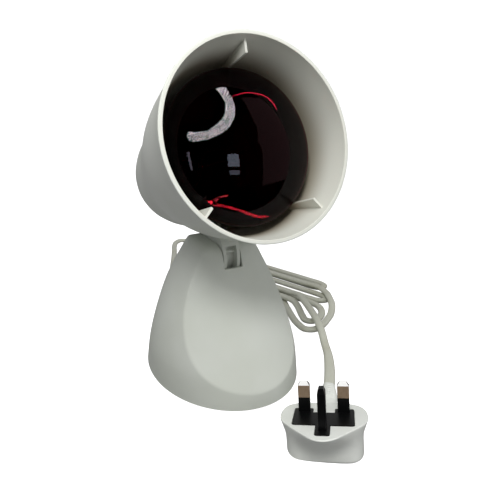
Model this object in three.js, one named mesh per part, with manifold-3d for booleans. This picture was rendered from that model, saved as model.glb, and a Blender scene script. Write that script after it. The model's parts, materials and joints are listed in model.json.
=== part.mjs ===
// Infrared heat therapy lamp: a bell-shaped head with a screw-in reflector bulb, tilting on a
// hollow stand, with a folded mains lead and a three-pin plug.
// Millimetres, +Z up, the lamp shines towards -Y. Every piece is built in the lamp's own frame.
import * as THREE from 'three';
import { mergeVertices } from 'three/addons/utils/BufferGeometryUtils.js';
import Module from 'manifold-3d';

const wasm = await Module();
wasm.setup();

const degrees = Math.PI / 180;

// Clearances and overruns that the pieces share
const seatGap = 0.3;
const boreGap = 0.25;
const overrun = 6;
const trim = 0.02;

// Whole lamp
const lamp = { setBack: 8.1 };

// Stand body: an elliptical hood whose front is cut by a crowned, hollow-swept face
const stand = {
  floorGap: 0.8, loftHeight: 98, roofHeight: 96.5, halfWidth: 52.1, frontReach: 69.5, rearReach: 66.4, wall: 2.2,
};
const standHeightShares = [0, 0.224, 0.449, 0.673, 0.878, 1];
const standWidthShares = [1, 0.965, 0.856, 0.693, 0.495, 0.374];
const standFrontShares = [1, 0.934, 0.827, 0.721, 0.626, 0.534];
const standRearShares = [1, 0.864, 0.753, 0.646, 0.48, 0.348];
const face = { toe: 56.9, lean: 30.8 * degrees, crown: 11.9, crownHalfWidth: 38, hollow: 8.4, hollowHeight: 45 };
const roof = {
  frontEdge: 25, frontCurve: 21, frontShoulder: 9, rearShoulder: 9, rearCurve: 19, rearEdge: 31, edgeHeight: 86,
  sideShoulder: 12, sideCurve: 21, sideEdge: 26,
};
const slot = { width: 13.5, bottom: 80.9, rear: 15 };

// Hinge in the stand's top
const pivot = { height: 86, axleRadius: 2.5, axleReach: 11.6, headRadius: 4, headDepth: 1.5 };
const tilt = { rest: 19 * degrees, step: (19 / 3) * degrees, stepsDown: 3, stepsUp: 2 };
const neck = {
  width: 12.2, cheek: 2.2, radius: 23.2, arcEnd: 212 * degrees, rootFront: 18.5, rootRear: 10.5, rootTop: 108,
  rootPlate: 95.3, backRadius: 8.6, hubRadius: 6.4, webInner: 14.4, webOuter: 17.4,
  pegY: -17.4, pegZ: 90.5, pegRadius: 1.3, pocketEnd: 236 * degrees,
};
const detent = { radius: 13, margin: 6 * degrees, notchRadius: 0.6, springThickness: 0.5, springWidth: 5 };
const carrier = {
  cheek: 2.4, cheekFront: 9, cheekRear: 12, topRadius: 6.5, plate: 3, plateTop: 63.6, halfWidth: 19.6,
  frontReach: 14.5, rearReach: 18.5, postX: 15.4, postY: 8.5, postRadius: 3.7, leadHole: 3.2, leadY: -10.2,
};
const washer = { thickness: 0.7, radius: 5.2 };
const clip = { thickness: 0.8, radius: 4.2 };
const spring = { footRear: 16, footFront: 8, noseDrop: 2.2, tip: 4, screwY: 12.5 };

// Underside
const base = { height: 1, thickness: 2.4, clipWall: 1.6 };
const foot = { radius: 6, height: 2, x: 29, front: 42, rear: 39 };
const baseScrew = { x: 36, front: 26, rear: 24, postRadius: 4, postTop: 26, ribWidth: 2, recess: 1.3 };
const smallScrew = { shank: 1.2, head: 2.3, headDepth: 1.3, length: 7 };
const largeScrew = { shank: 1.5, head: 2.9, headDepth: 1.6, length: 11 };

// Head: depths run back from the rim's plane along the head's axis
const head = { rimHeight: 170.1, rimReach: 61.6, rimRadius: 59, depth: 128, wall: 2.4, lip: 0.2 };
const shadeDepthShares = [0, 0.078, 0.156, 0.234, 0.328, 0.43, 0.547, 0.664, 0.781, 0.898, 1];
const shadeRadiusShares = [1, 0.973, 0.951, 0.932, 0.908, 0.871, 0.812, 0.751, 0.705, 0.668, 0.62];
const fin = { thickness: 1.5, front: 5.5, rear: 59, reach: 48.1 };
const finTurns = [88, -49.5, -134.7];
const shelf = { rear: 113.5, thickness: 2.4, hole: 20.4, ventRadius: 2.8, ventRing: 31.5, vents: 6 };
const rearCap = { depth: 26.7, wall: 2.2, radius: 35.5, lip: 4, lipWall: 1.9 };
const capDepthShares = [0, 0.1, 0.24, 0.39, 0.54, 0.69, 0.82, 0.91, 0.97, 1, 1];
const capRadiusShares = [1, 0.994, 0.972, 0.934, 0.873, 0.806, 0.732, 0.66, 0.563, 0.48, 0];
const capPost = { radius: 3.2, ring: 24.3, end: 143.3, bossRadius: 3.9, recess: 146.4, count: 3, turn: 90 * degrees };
const vent = { count: 10, width: 2.4, inner: 6.5, outer: 15.5 };
const leadPort = { radius: 2.1, depth: 76.5, tubeRadius: 1.6 };
const neckScrew = { front: 67.5, rear: 87, lean: 13.3 * degrees, pad: 0.5 };

// Lampholder and bulb on the head's axis
const holder = {
  front: 106.5, radius: 19.8, bore: 14.7, boreEnd: 144.3, back: 147.8, chamfer: 4, flange: 3, flangeRadius: 27.2, earHalf: 6.8,
  screwRing: 23.6, bossRadius: 2.9, bossFront: 105,
};
const shell = { wall: 0.5, radius: 14.3, front: 110, back: 134 };
const springContact = { width: 5, thickness: 0.6, reach: 11, foot: 1.2 };
const bulb = { radius: 47.5, front: 11.5, length: 131.3, wall: 1 };
const bulbDepthShares = [
  0, 0.006, 0.022, 0.045, 0.067, 0.088, 0.11, 0.145, 0.202, 0.278, 0.369, 0.461, 0.545, 0.621, 0.689, 0.75, 0.777, 0.811,
];
const bulbRadiusShares = [
  0, 0.253, 0.505, 0.716, 0.863, 0.956, 0.996, 0.989, 0.943, 0.84, 0.69, 0.53, 0.4, 0.32, 0.284, 0.272, 0.25, 0.25,
];
const bulbCap = { radius: 13.3, groove: 0.6, wall: 0.5, front: 114, back: 137.2, threads: 5, throat: 8 };
const vitrite = { back: 140.7, radius: 11, tipRadius: 5 };
const bulbTip = { radius: 4.6, back: 142.8 };
const stem = { flareRadius: 10.4, flareBack: 117.5, flareFront: 112, neckRadius: 4, front: 86, flatEnd: 92 };
const filament = { depth: 60, spread: 14, height: 4, radius: 0.7, leadRadius: 0.5, leadSpread: 3 };

// Mains lead: a flat twin flex on a route chosen by hand
const flex = { width: 6.3, thickness: 3.9, table: 2.1, second: 6.6, tailBack: 95.2 };
const gland = { height: 9, tip: 96.4, rootWidth: 12.4, rootDepth: 9.6, tipWidth: 8.4, tipDepth: 6 };
const glandRibs = 5;
const wallAtGland = { inner: 57.6, outer: 65.8, collar: 3 };
const terminal = { width: 21, depth: 15, height: 12, y: 2, wellRadius: 2, wellPitch: 6.5, wireRadius: 1.7 };
const saddle = { width: 25, depth: 8, height: 3, y: 34, screwX: 9 };
const hankOrigin = [150, 66];
const hankTurn = 19.9 * degrees;
const leadRoute = [
  [0, 96.6, 9], [0.4, 104, 8.2], [3, 116, 5], [9, 132, 2.8], [18, 152, 2.1], [28, 174, 2.1], [38, 197, 2.1],
  [48, 220, 2.1], [57, 242, 2.1], [64, 260, 2.1], [71, 272, 2.1], [79, 277, 2.1], [86, 272, 2.1], [88.7, 262, 2.1],
  [90, 250, 2.1],
];
const hankRoute = [
  [193.1, 6.1, 2.1], [187, 4.6, 2.1], [150, 4.2, 2.1], [110, 4, 2.1], [60, 4, 2.1], [25, 4, 2.1], [8, 3.6, 2.1], [1.5, 0.5, 2.1],
  [1.5, -5.5, 2.1], [8, -8.6, 2.1], [25, -9, 2.1], [60, -9, 2.1], [100, -9.3, 2.1], [118, -10.5, 2.1],
  [125, -14.7, 2.1], [118, -19, 2.1], [100, -20.5, 2.1], [60, -20.5, 2.1], [20, -20.5, 2.1], [-5, -20.5, 2.1],
  [-14, -22, 2.1], [-18, -27, 2.1], [-14, -32, 2.1], [-5, -33.5, 2.1], [20, -33.5, 2.1], [60, -33.5, 2.1],
  [93, -33.5, 2.1], [104, -33, 2.4], [113, -30.5, 4.2], [118, -25, 6.6], [112, -17.8, 6.6], [95, -15, 6.6], [60, -15, 6.6],
  [20, -14.6, 6.6], [0, -14, 6.6], [-15, -21.5, 6.6], [-23, -29, 6.7], [-30.5, -36.5, 5], [-37.5, -49, 2.6], [-41, -61, 2.1],
  [-43.5, -74, 2.1], [-42, -83, 2.1], [-36, -87, 2.1], [-28.5, -84.5, 2.1], [-19, -79, 2.1], [-1, -65, 2.1],
  [15, -53, 2.1], [35, -50.5, 2.1], [60, -50.5, 2.1], [72, -50.3, 2.1], [80, -49.2, 3], [86, -45.5, 4.7],
  [88, -41, 6.3], [86, -36.5, 6.7], [76, -34.6, 6.6], [67, -37.4, 6.6], [61.5, -40.1, 6.6], [56, -41.6, 5.2], [50, -41.9, 3.3], [42, -41.7, 2.1], [12, -41.3, 2.1],
  [-8, -40.8, 2.1], [-20, -43, 2.1], [-28.5, -50, 2.1], [-33, -59, 2.1], [-34.3, -66.5, 2.1], [-32, -72, 2.1],
  [-27, -73.2, 2.1], [-20, -68.5, 2.6], [-10, -61, 5.2], [-3, -57.3, 6.7], [5, -55.5, 6.8], [20, -56.2, 6.8], [29, -59.4, 6], [38, -60, 3.4],
  [50, -59, 2.1], [61, -58.8, 3.2], [69.5, -57.8, 5.8], [75, -54.4, 7.7], [75.6, -50, 8], [70, -47.6, 7.7],
  [58, -48.3, 7.1],
  [47, -49, 7], [37, -45.6, 6.9], [30, -43, 6.8], [25, -42.6, 6.6],
];
const runRoute = [
  [101.57, 74.69, 6.6], [103.2, 70.8, 6.6], [104.2, 62, 7.4], [104.3, 52, 9.8], [103.6, 45, 11.5], [101.3, 37, 11.6],
  [95.5, 16, 10.6],
  [90, -2, 8.6], [85.5, -14, 5.4], [80, -25, 2.8], [72, -40, 2.1], [61, -56, 2.3], [50, -70, 4.2], [43, -78.6, 5.8], [37.6, -87.2, 6.3],
];

// Plug: stands on its back with the pins up; `plugPlace` carries its own frame to the lamp's
const plug = {
  x: 14.7, y: -109.4, height: 18, yaw: -38.9, roll: -5.4, pitch: -13.2, depth: 22, foot: 1.4,
  halfWidth: 24.4, earthReach: 37.2, cordReach: 11.8, carrierDepth: 3, carrierRise: 0.4,
};
const plugOutlineX = [0, 0.37, 0.76, 0.93, 0.985, 1, 1, 0.93, 0.75, 0.37];
const plugOutlineY = [-1, -0.94, -0.6, -0.37, -0.2, -0.07, 0.15, 0.62, 0.9, 0.99];
const plugDepthShares = [0, 0.08, 0.35, 0.65, 0.9, 1];
const plugWidthShares = [0.97, 1, 0.93, 0.88, 0.885, 0.88];
const plugEarthShares = [0.975, 0.985, 0.84, 0.63, 0.49, 0.46];
const plugCordShares = [0.97, 1, 1, 0.97, 0.9, 0.85];
const pin = {
  spacing: 11.1, width: 6.35, depth: 4, length: 17.7, sleeve: 9.2, core: 0.7, root: 9, tip: 1,
  earthY: -22.2, earthWidth: 4, earthDepth: 8, earthLength: 22.7,
};
const carrierPlate = { barHalf: 17, barFront: -19.5, barRear: -3, earInner: 6.3, earRear: 2.6, stemHalf: 3.9, stemFront: -31.5 };
const relief = { x: 18.6, y: -105.7, z: 7, turn: -45.5, drop: -1.6, length: 26, rootWidth: 10.6, rootDepth: 8.6, ribs: 4 };

// Materials
function finish(color, roughness, metalness = 0) {
  return new THREE.MeshStandardMaterial({ color, roughness, metalness });
}
const materials = {
  housing: () => finish(0xd9dbd4, 0.5),
  shade: () => finish(0xdcded8, 0.42),
  nylon: () => finish(0xc9c8bf, 0.6),
  rubber: () => finish(0x2b2b2b, 0.9),
  steel: () => finish(0xb9bbbd, 0.35, 1),
  brass: () => finish(0xc7a14a, 0.35, 1),
  porcelain: () => finish(0xe9e6dd, 0.3),
  ruby: () => finish(0x1a0306, 0.06),
  clear: () => finish(0xdfe6e8, 0.1),
  vitrite: () => finish(0x1d1712, 0.3),
  tungsten: () => finish(0x6a6a6c, 0.4, 1),
  flex: () => finish(0xdadbce, 0.55),
  plug: () => finish(0xe6e7e4, 0.4),
  black: () => finish(0x131313, 0.45),
};

// Geometry helpers
function signedVolume(points, index) {
  const corners = [new THREE.Vector3(), new THREE.Vector3(), new THREE.Vector3()];
  let volume = 0;
  for (let i = 0; i < index.length; i += 3) {
    corners.forEach((corner, k) => corner.fromBufferAttribute(points, index[i + k]));
    volume += corners[0].dot(corners[1].cross(corners[2])) / 6;
  }
  return volume;
}

// A closed geometry of either winding becomes a solid that can be joined and cut
function solid(geometry) {
  const plain = new THREE.BufferGeometry();
  plain.setAttribute('position', geometry.attributes.position.clone());
  if (geometry.index) plain.setIndex(geometry.index.clone());
  const merged = mergeVertices(plain, 1e-4);
  const index = [];
  for (let i = 0; i < merged.index.count; i += 3) {
    const corner = [0, 1, 2].map((k) => merged.index.getX(i + k));
    if (new Set(corner).size === 3) index.push(...corner);
  }
  if (signedVolume(merged.attributes.position, index) < 0) index.reverse();
  const vertProperties = new Float32Array(merged.attributes.position.array);
  return new wasm.Manifold(new wasm.Mesh({ numProp: 3, vertProperties, triVerts: new Uint32Array(index) }));
}

function join(...solids) {
  return solids.reduce((all, one) => all.add(one));
}

function cut(body, ...tools) {
  return tools.reduce((all, one) => all.subtract(one), body);
}

function piece(name, body, material) {
  const { vertProperties, triVerts } = body.simplify(trim).getMesh();
  const geometry = new THREE.BufferGeometry();
  geometry.setAttribute('position', new THREE.Float32BufferAttribute(vertProperties, 3));
  geometry.setIndex(Array.from(triVerts));
  geometry.computeVertexNormals();
  const mesh = new THREE.Mesh(geometry, material());
  mesh.name = name;
  return mesh;
}

// A block between two corners
function block(x0, x1, y0, y1, z0, z1) {
  const geometry = new THREE.BoxGeometry(x1 - x0, y1 - y0, z1 - z0);
  return solid(geometry.translate((x0 + x1) / 2, (y0 + y1) / 2, (z0 + z1) / 2));
}

// Cylinders and cones along one axis, between two places on it
function rod(axis, radius, from, to, across = 0, up = 0, sides = 14, endRadius = radius) {
  const geometry = new THREE.CylinderGeometry(endRadius, radius, to - from, sides);
  geometry.translate(0, (from + to) / 2, 0);
  if (axis === 'x') geometry.rotateZ(-Math.PI / 2).translate(0, across, up);
  if (axis === 'y') geometry.translate(across, 0, up);
  if (axis === 'z') geometry.rotateX(Math.PI / 2).translate(across, up, 0);
  return solid(geometry);
}

// A body of revolution about +Y; the [radius, depth] outline starts and ends on the axis or closes
function revolve(outline, sides = 40) {
  return solid(new THREE.LatheGeometry(outline.map(([r, d]) => new THREE.Vector2(r, d)), sides));
}

function ring(inner, outer, from, to, sides = 40) {
  return revolve([[inner, from], [outer, from], [outer, to], [inner, to], [inner, from]], sides);
}

// An outline in the lamp's YZ plane, drawn along X
function slab(shape, from, to, curveSegments = 10) {
  const geometry = new THREE.ExtrudeGeometry(shape, { depth: to - from, bevelEnabled: false, curveSegments });
  return solid(geometry.rotateY(Math.PI / 2).rotateX(Math.PI / 2).translate(from, 0, 0));
}

// An outline in the XY plane, drawn up Z
function plate(shape, from, to, curveSegments = 10) {
  const geometry = new THREE.ExtrudeGeometry(shape, { depth: to - from, bevelEnabled: false, curveSegments });
  return solid(geometry.translate(0, 0, from));
}

// Rings of equal length joined side to side, with a fan over each end
function loft(rings) {
  const count = rings[0].length;
  const ends = [rings[0], rings[rings.length - 1]].map((loop) => {
    const middle = new THREE.Vector3();
    loop.forEach((p) => middle.addScaledVector(p, 1 / count));
    return middle;
  });
  const points = [...rings.flat(), ...ends];
  const last = (rings.length - 1) * count;
  const index = [];
  for (let j = 0; j < count; j += 1) {
    const k = (j + 1) % count;
    for (let row = 0; row < last; row += count) {
      index.push(row + j, row + k, row + count + k, row + j, row + count + k, row + count + j);
    }
    index.push(points.length - 2, k, j, points.length - 1, last + j, last + k);
  }
  const geometry = new THREE.BufferGeometry().setFromPoints(points);
  geometry.setIndex(index);
  return solid(geometry);
}

function spline(depths, depthSize, sizes, size, depthStart = 0) {
  return new THREE.SplineCurve(depths.map((d, i) => new THREE.Vector2(sizes[i] * size, depthStart + d * depthSize)));
}

function screw(kind, length = kind.length) {
  const shank = rod('z', kind.shank, -length, kind.headDepth * 0.3, 0, 0, 6);
  const pan = rod('z', kind.head, 0, kind.headDepth, 0, 0, 10, kind.head * 0.82);
  const drive = rod('z', kind.shank * 0.7, kind.headDepth * 0.4, kind.headDepth + overrun, 0, 0, 6);
  return cut(join(shank, pan), drive);
}

// Stand
function faceY(x, z) {
  const crown = face.crown * (1 - (x / face.crownHalfWidth) ** 2);
  const hollow = face.hollow * ((z - face.hollowHeight) / face.hollowHeight) ** 2;
  return -face.toe + z * Math.tan(face.lean) - crown - hollow;
}

function behindFace(inset) {
  const half = stand.halfWidth + overrun;
  const top = stand.loftHeight + overrun;
  const geometry = new THREE.BoxGeometry(half * 2, 1, top + overrun, 12, 1, 12);
  geometry.translate(0, 0, (top - overrun) / 2);
  const p = geometry.attributes.position;
  for (let i = 0; i < p.count; i += 1) {
    const front = faceY(p.getX(i), p.getZ(i)) + inset / Math.cos(face.lean);
    p.setY(i, p.getY(i) > 0 ? stand.rearReach + overrun : front);
  }
  return solid(geometry);
}

function underRoof(inset) {
  const far = stand.frontReach + overrun;
  const top = stand.roofHeight - inset;
  const edge = roof.edgeHeight - inset;
  const along = new THREE.Shape();
  along.moveTo(-far, -overrun).lineTo(far, -overrun).lineTo(far, edge).lineTo(roof.rearEdge - inset, edge);
  along.quadraticCurveTo(roof.rearCurve, top, roof.rearShoulder, top).lineTo(-roof.frontShoulder, top);
  along.quadraticCurveTo(-roof.frontCurve, top, inset - roof.frontEdge, edge).lineTo(-far, edge);
  const across = new THREE.Shape();
  across.moveTo(-far, -overrun).lineTo(far, -overrun).lineTo(far, edge).lineTo(roof.sideEdge - inset, edge);
  across.quadraticCurveTo(roof.sideCurve, top, roof.sideShoulder, top).lineTo(-roof.sideShoulder, top);
  across.quadraticCurveTo(-roof.sideCurve, top, inset - roof.sideEdge, edge).lineTo(-far, edge);
  const geometry = new THREE.ExtrudeGeometry(across, { depth: 2 * far, bevelEnabled: false, curveSegments: 8 });
  return slab(along, -far, far, 8).intersect(solid(geometry.rotateX(Math.PI / 2).translate(0, far, 0)));
}

// The stand's outer form, or the same form drawn in by an inset
function standForm(inset) {
  const levels = 10;
  const sides = 40;
  const curves = [
    spline(standHeightShares, stand.loftHeight, standWidthShares, stand.halfWidth),
    spline(standHeightShares, stand.loftHeight, standFrontShares, stand.frontReach),
    spline(standHeightShares, stand.loftHeight, standRearShares, stand.rearReach),
  ];
  const rings = [];
  for (let i = -1; i <= levels; i += 1) {
    const [width, front, rear] = curves.map((curve) => curve.getPoint(Math.max(i, 0) / levels));
    const loop = [];
    for (let j = 0; j < sides; j += 1) {
      const a = (j / sides) * 2 * Math.PI;
      const reach = (front.x + rear.x) / 2 - inset;
      const y = (rear.x - front.x) / 2 + reach * Math.sin(a);
      loop.push(new THREE.Vector3((width.x - inset) * Math.cos(a), y, i < 0 ? -overrun : width.y));
    }
    rings.push(loop);
  }
  return loft(rings).intersect(behindFace(inset)).intersect(underRoof(inset));
}

function baseScrewPlaces() {
  const { x, front, rear } = baseScrew;
  return [[-x, -front], [x, -front], [x, rear], [-x, rear]];
}

function carrierPostPlaces() {
  const { postX, postY } = carrier;
  return [[-postX, -postY], [postX, postY], [postX, -postY], [-postX, postY]];
}

// Two of the four posts, across a diagonal, take a screw
function carrierScrewPlaces() {
  return carrierPostPlaces().slice(0, 2);
}

function buildHood() {
  const half = standForm(stand.wall / 2);
  let hood = standForm(0).subtract(standForm(stand.wall)).intersect(slice(stand.floorGap, stand.loftHeight));
  const postFoot = base.height + base.thickness + seatGap;
  for (const [x, y] of baseScrewPlaces()) {
    const post = rod('z', baseScrew.postRadius, postFoot, baseScrew.postTop, x, y, 14);
    const wallX = Math.sign(x) * stand.halfWidth;
    const [low, high] = [Math.min(x, wallX), Math.max(x, wallX)];
    const rib = block(low, high, y - baseScrew.ribWidth / 2, y + baseScrew.ribWidth / 2, postFoot, baseScrew.postTop);
    hood = hood.add(join(post, rib).intersect(half));
    const bore = postFoot + largeScrew.length;
    hood = hood.subtract(rod('z', largeScrew.shank + boreGap, 0, bore, x, y, 12));
  }
  for (const [x, y] of carrierPostPlaces()) {
    const post = rod('z', carrier.postRadius, carrier.plateTop + seatGap, stand.roofHeight, x, y, 14);
    hood = hood.add(post.intersect(half));
  }
  for (const [x, y] of carrierScrewPlaces()) {
    const bore = carrier.plateTop + largeScrew.length;
    hood = hood.subtract(rod('z', largeScrew.shank + boreGap, carrier.plateTop, bore, x, y, 12));
  }
  const opening = block(-slot.width / 2, slot.width / 2, -stand.frontReach, slot.rear, slot.bottom, stand.loftHeight);
  const exit = reliefForm(gland.rootWidth + 2 * boreGap, gland.rootDepth + 2 * boreGap, 0, stand.rearReach + overrun);
  return cut(hood, opening, exit.translate([0, 0, gland.height]));
}

function buildBasePlate() {
  const top = base.height + base.thickness;
  const inset = stand.wall + seatGap;
  const form = standForm(inset);
  let plateBody = form.intersect(slice(base.height, top));
  const side = terminal.width / 2 + seatGap;
  for (const sign of [-1, 1]) {
    const [near, far] = [sign * side, sign * (side + base.clipWall)];
    const y = terminal.y + terminal.depth / 2;
    const wall = block(Math.min(near, far), Math.max(near, far), y - terminal.depth, y, top - seatGap, terminal.height);
    plateBody = plateBody.add(wall);
  }
  const bed = gland.height - flex.thickness / 2 - seatGap;
  const half = saddle.depth / 2;
  plateBody = plateBody.add(block(-saddle.width / 2, saddle.width / 2, saddle.y - half, saddle.y + half, top - seatGap, bed));
  for (const x of [-saddle.screwX, saddle.screwX]) {
    plateBody = plateBody.subtract(rod('z', smallScrew.shank + boreGap, top, bed + overrun, x, saddle.y, 12));
  }
  for (const [x, y] of baseScrewPlaces()) {
    plateBody = plateBody.subtract(rod('z', largeScrew.shank + boreGap, 0, top + overrun, x, y, 8));
    plateBody = plateBody.subtract(rod('z', largeScrew.head + boreGap, 0, base.height + baseScrew.recess, x, y, 14));
  }
  for (const [x, y] of footPlaces()) {
    plateBody = plateBody.subtract(rod('z', foot.radius + boreGap, 0, foot.height + seatGap, x, y, 16));
  }
  const reach = (gland.rootWidth + wallAtGland.collar) / 2 + seatGap;
  const low = gland.height - (gland.rootDepth + wallAtGland.collar) / 2 - seatGap;
  const front = wallAtGland.inner - wallAtGland.collar - 2 * seatGap;
  return plateBody.subtract(block(-reach, reach, front, stand.rearReach, low, stand.loftHeight));
}

function slice(from, to) {
  const far = stand.frontReach + overrun;
  return block(-far, far, -far, far, from, to);
}

function footPlaces() {
  return [[-foot.x, -foot.front], [foot.x, -foot.front], [foot.x, foot.rear], [-foot.x, foot.rear]];
}

function buildUnderside() {
  const screws = baseScrewPlaces().map(([x, y], i) => {
    const body = screw(largeScrew).rotate([180, 0, 0]).translate([x, y, base.height + baseScrew.recess - seatGap]);
    return piece(`base_screw_${i + 1}`, body, materials.steel);
  });
  const feet = footPlaces().map(([x, y], i) => {
    return piece(`foot_${i + 1}`, rod('z', foot.radius, 0, foot.height, x, y, 16), materials.rubber);
  });
  return [piece('base_plate', buildBasePlate(), materials.housing), ...screws, ...feet];
}

// Hinge: a carrier with two cheeks hangs under the roof and holds the axle
function buildCarrier() {
  const { halfWidth, frontReach, rearReach, plateTop } = carrier;
  const inner = neck.width / 2 + washer.thickness + seatGap;
  let body = block(-halfWidth, halfWidth, -frontReach, rearReach, plateTop - carrier.plate, plateTop);
  const outline = new THREE.Shape();
  outline.moveTo(-carrier.cheekFront, plateTop - seatGap).lineTo(carrier.cheekRear, plateTop - seatGap);
  outline.lineTo(carrier.topRadius, pivot.height).absarc(0, pivot.height, carrier.topRadius, 0, Math.PI, false);
  outline.lineTo(-carrier.cheekFront, plateTop - seatGap);
  for (const from of [-inner - carrier.cheek, inner]) {
    body = body.add(slab(outline, from, from + carrier.cheek, 8));
  }
  const axle = rod('x', pivot.axleRadius + boreGap, -halfWidth, halfWidth, 0, pivot.height);
  body = cut(body, axle, rod('z', carrier.leadHole, 0, plateTop + 1, 0, carrier.leadY));
  for (const [x, y] of carrierScrewPlaces()) {
    body = body.subtract(rod('z', largeScrew.shank + boreGap, 0, plateTop + 1, x, y, 12));
  }
  return body.subtract(rod('z', smallScrew.shank + boreGap, 0, plateTop + 1, 0, spring.screwY, 12));
}

function buildSpring() {
  const low = carrier.plateTop + seatGap;
  const thick = detent.springThickness;
  const nose = pivot.height - detent.radius - seatGap;
  const line = [
    [spring.footRear, low], [spring.footFront, low], [detent.notchRadius * 2, nose - thick - detent.notchRadius],
    [0, nose - thick + detent.notchRadius / 2], [-detent.notchRadius * 2, nose - thick - detent.notchRadius],
    [-spring.tip, nose - spring.noseDrop],
  ];
  const outline = new THREE.Shape();
  outline.moveTo(...line[0]);
  line.slice(1).forEach(([y, z]) => outline.lineTo(y, z));
  line.slice().reverse().forEach(([y, z]) => outline.lineTo(y, z + thick));
  const leaf = slab(outline, -detent.springWidth / 2, detent.springWidth / 2);
  return leaf.subtract(rod('z', smallScrew.shank + boreGap, 0, pivot.height, 0, spring.screwY, 12));
}

function buildHinge() {
  const inner = neck.width / 2 + seatGap / 2;
  const outer = neck.width / 2 + washer.thickness + seatGap + carrier.cheek;
  const shaft = rod('x', pivot.axleRadius, -outer - seatGap, pivot.axleReach + clip.thickness, 0, pivot.height);
  const axleHead = rod('x', pivot.headRadius, -outer - seatGap - pivot.headDepth, -outer - seatGap, 0, pivot.height);
  const clipAt = outer + seatGap;
  const groove = cut(
    rod('x', pivot.headRadius + 1, clipAt - boreGap / 2, clipAt + clip.thickness + boreGap / 2, 0, pivot.height),
    rod('x', pivot.axleRadius * 0.75, 0, clipAt + overrun, 0, pivot.height, 16),
  );
  const clipRing = cut(
    rod('x', clip.radius, clipAt, clipAt + clip.thickness, 0, pivot.height),
    rod('x', pivot.axleRadius * 0.75 + boreGap, 0, clipAt + overrun, 0, pivot.height, 16),
    block(0, clipAt + overrun, -pivot.axleRadius * 0.6, pivot.axleRadius * 0.6, pivot.height, pivot.height + clip.radius + 1),
  );
  const screws = carrierScrewPlaces().map(([x, y], i) => {
    const lift = carrier.plateTop - carrier.plate - seatGap;
    const body = screw(largeScrew).rotate([180, 0, 0]).translate([x, y, lift]);
    return piece(`carrier_screw_${i + 1}`, body, materials.steel);
  });
  const washers = [['left', -inner - washer.thickness], ['right', inner]].map(([side, from]) => {
    const disc = rod('x', washer.radius, from, from + washer.thickness, 0, pivot.height);
    const bore = rod('x', pivot.axleRadius + boreGap, from - 1, from + washer.thickness + 1, 0, pivot.height);
    return piece(`pivot_washer_${side}`, disc.subtract(bore), materials.black);
  });
  const springTop = carrier.plateTop + detent.springThickness + 2 * seatGap;
  const springScrew = screw(smallScrew, carrier.plate + seatGap).translate([0, spring.screwY, springTop]);
  return [
    piece('hinge_carrier', buildCarrier(), materials.housing),
    piece('tilt_axle', cut(join(shaft, axleHead), groove), materials.steel),
    piece('axle_clip', clipRing, materials.steel),
    piece('detent_spring', buildSpring(), materials.steel),
    piece('detent_screw', springScrew, materials.steel),
    ...washers, ...screws,
  ];
}

// Neck: a quadrant under the head, two cheeks with a web between them, notched round its hub
function sector(inner, outer, from, to) {
  const shape = new THREE.Shape();
  shape.absarc(0, pivot.height, outer, from, to, false);
  shape.absarc(0, pivot.height, inner, to, from, true);
  return shape;
}

function buildNeck() {
  const { radius, arcEnd, rootFront, rootRear, rootTop, rootPlate, backRadius, webInner, webOuter } = neck;
  const half = neck.width / 2;
  const pocket = half - neck.cheek;
  const under = -90 * degrees;
  const sweepFrom = under - tilt.stepsDown * tilt.step - detent.margin;
  const sweepTo = under + tilt.stepsUp * tilt.step + detent.margin;
  const side = new THREE.Shape();
  const frontTurn = Math.PI - Math.acos(rootFront / radius);
  side.moveTo(-rootFront, rootTop).lineTo(-rootFront, pivot.height + radius * Math.sin(frontTurn));
  side.absarc(0, pivot.height, radius, frontTurn, arcEnd, false);
  side.absarc(0, pivot.height, detent.radius, sweepFrom + 2 * Math.PI, sweepTo + 2 * Math.PI, false);
  side.absarc(0, pivot.height, backRadius, -25 * degrees, 5 * degrees, false);
  side.lineTo(rootRear, rootPlate).lineTo(rootRear, rootTop);
  let body = slab(side, -half, half, 8);
  const front = slab(sector(webOuter, radius + overrun, 70 * degrees, 260 * degrees), -pocket, pocket, 10);
  const middle = slab(sector(neck.hubRadius, webInner, 85 * degrees, neck.pocketEnd), -pocket, pocket, 10);
  const below = block(-half, half, -radius - overrun, radius, 0, rootPlate);
  const outlet = slab(sector(neck.hubRadius, radius, 222 * degrees, 243 * degrees), -pocket, pocket, 6);
  body = cut(body, front.intersect(below), middle.intersect(below), outlet);
  body = body.add(rod('x', neck.pegRadius, -pocket - seatGap, pocket + seatGap, neck.pegY, neck.pegZ, 12));
  for (let i = -tilt.stepsDown; i <= tilt.stepsUp; i += 1) {
    const a = under + i * tilt.step;
    const y = detent.radius * Math.cos(a);
    const z = pivot.height + detent.radius * Math.sin(a);
    body = body.subtract(rod('x', detent.notchRadius, -half - 1, half + 1, y, z, 10));
  }
  body = body.subtract(rod('x', pivot.axleRadius + boreGap, -half - 1, half + 1, 0, pivot.height));
  body = body.subtract(inLamp(shadeSolid(seatGap)));
  return cut(body, ...neckScrewBores(), leadBore());
}

// Head
function inLamp(body) {
  return body.rotate([-tilt.rest / degrees, 0, 0]).translate([0, -head.rimReach, head.rimHeight]);
}

function shadeCurve(offset = 0, count = 10) {
  const curve = spline(shadeDepthShares, head.depth, shadeRadiusShares, head.rimRadius);
  return curve.getPoints(count).map((p) => [p.x + offset, p.y]);
}

function shadeSolid(offset) {
  const outline = shadeCurve(offset);
  return revolve([[0, 0], ...outline, [0, head.depth]], 40);
}

function neckScrewBores(radius = smallScrew.shank + boreGap) {
  return neckScrewPlaces().map((at) => inLamp(rod('z', radius, -smallScrew.length - 1, overrun, 0, 0, 12)
    .rotate([neckScrew.lean / degrees, 0, 0]).translate(at)));
}

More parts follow.
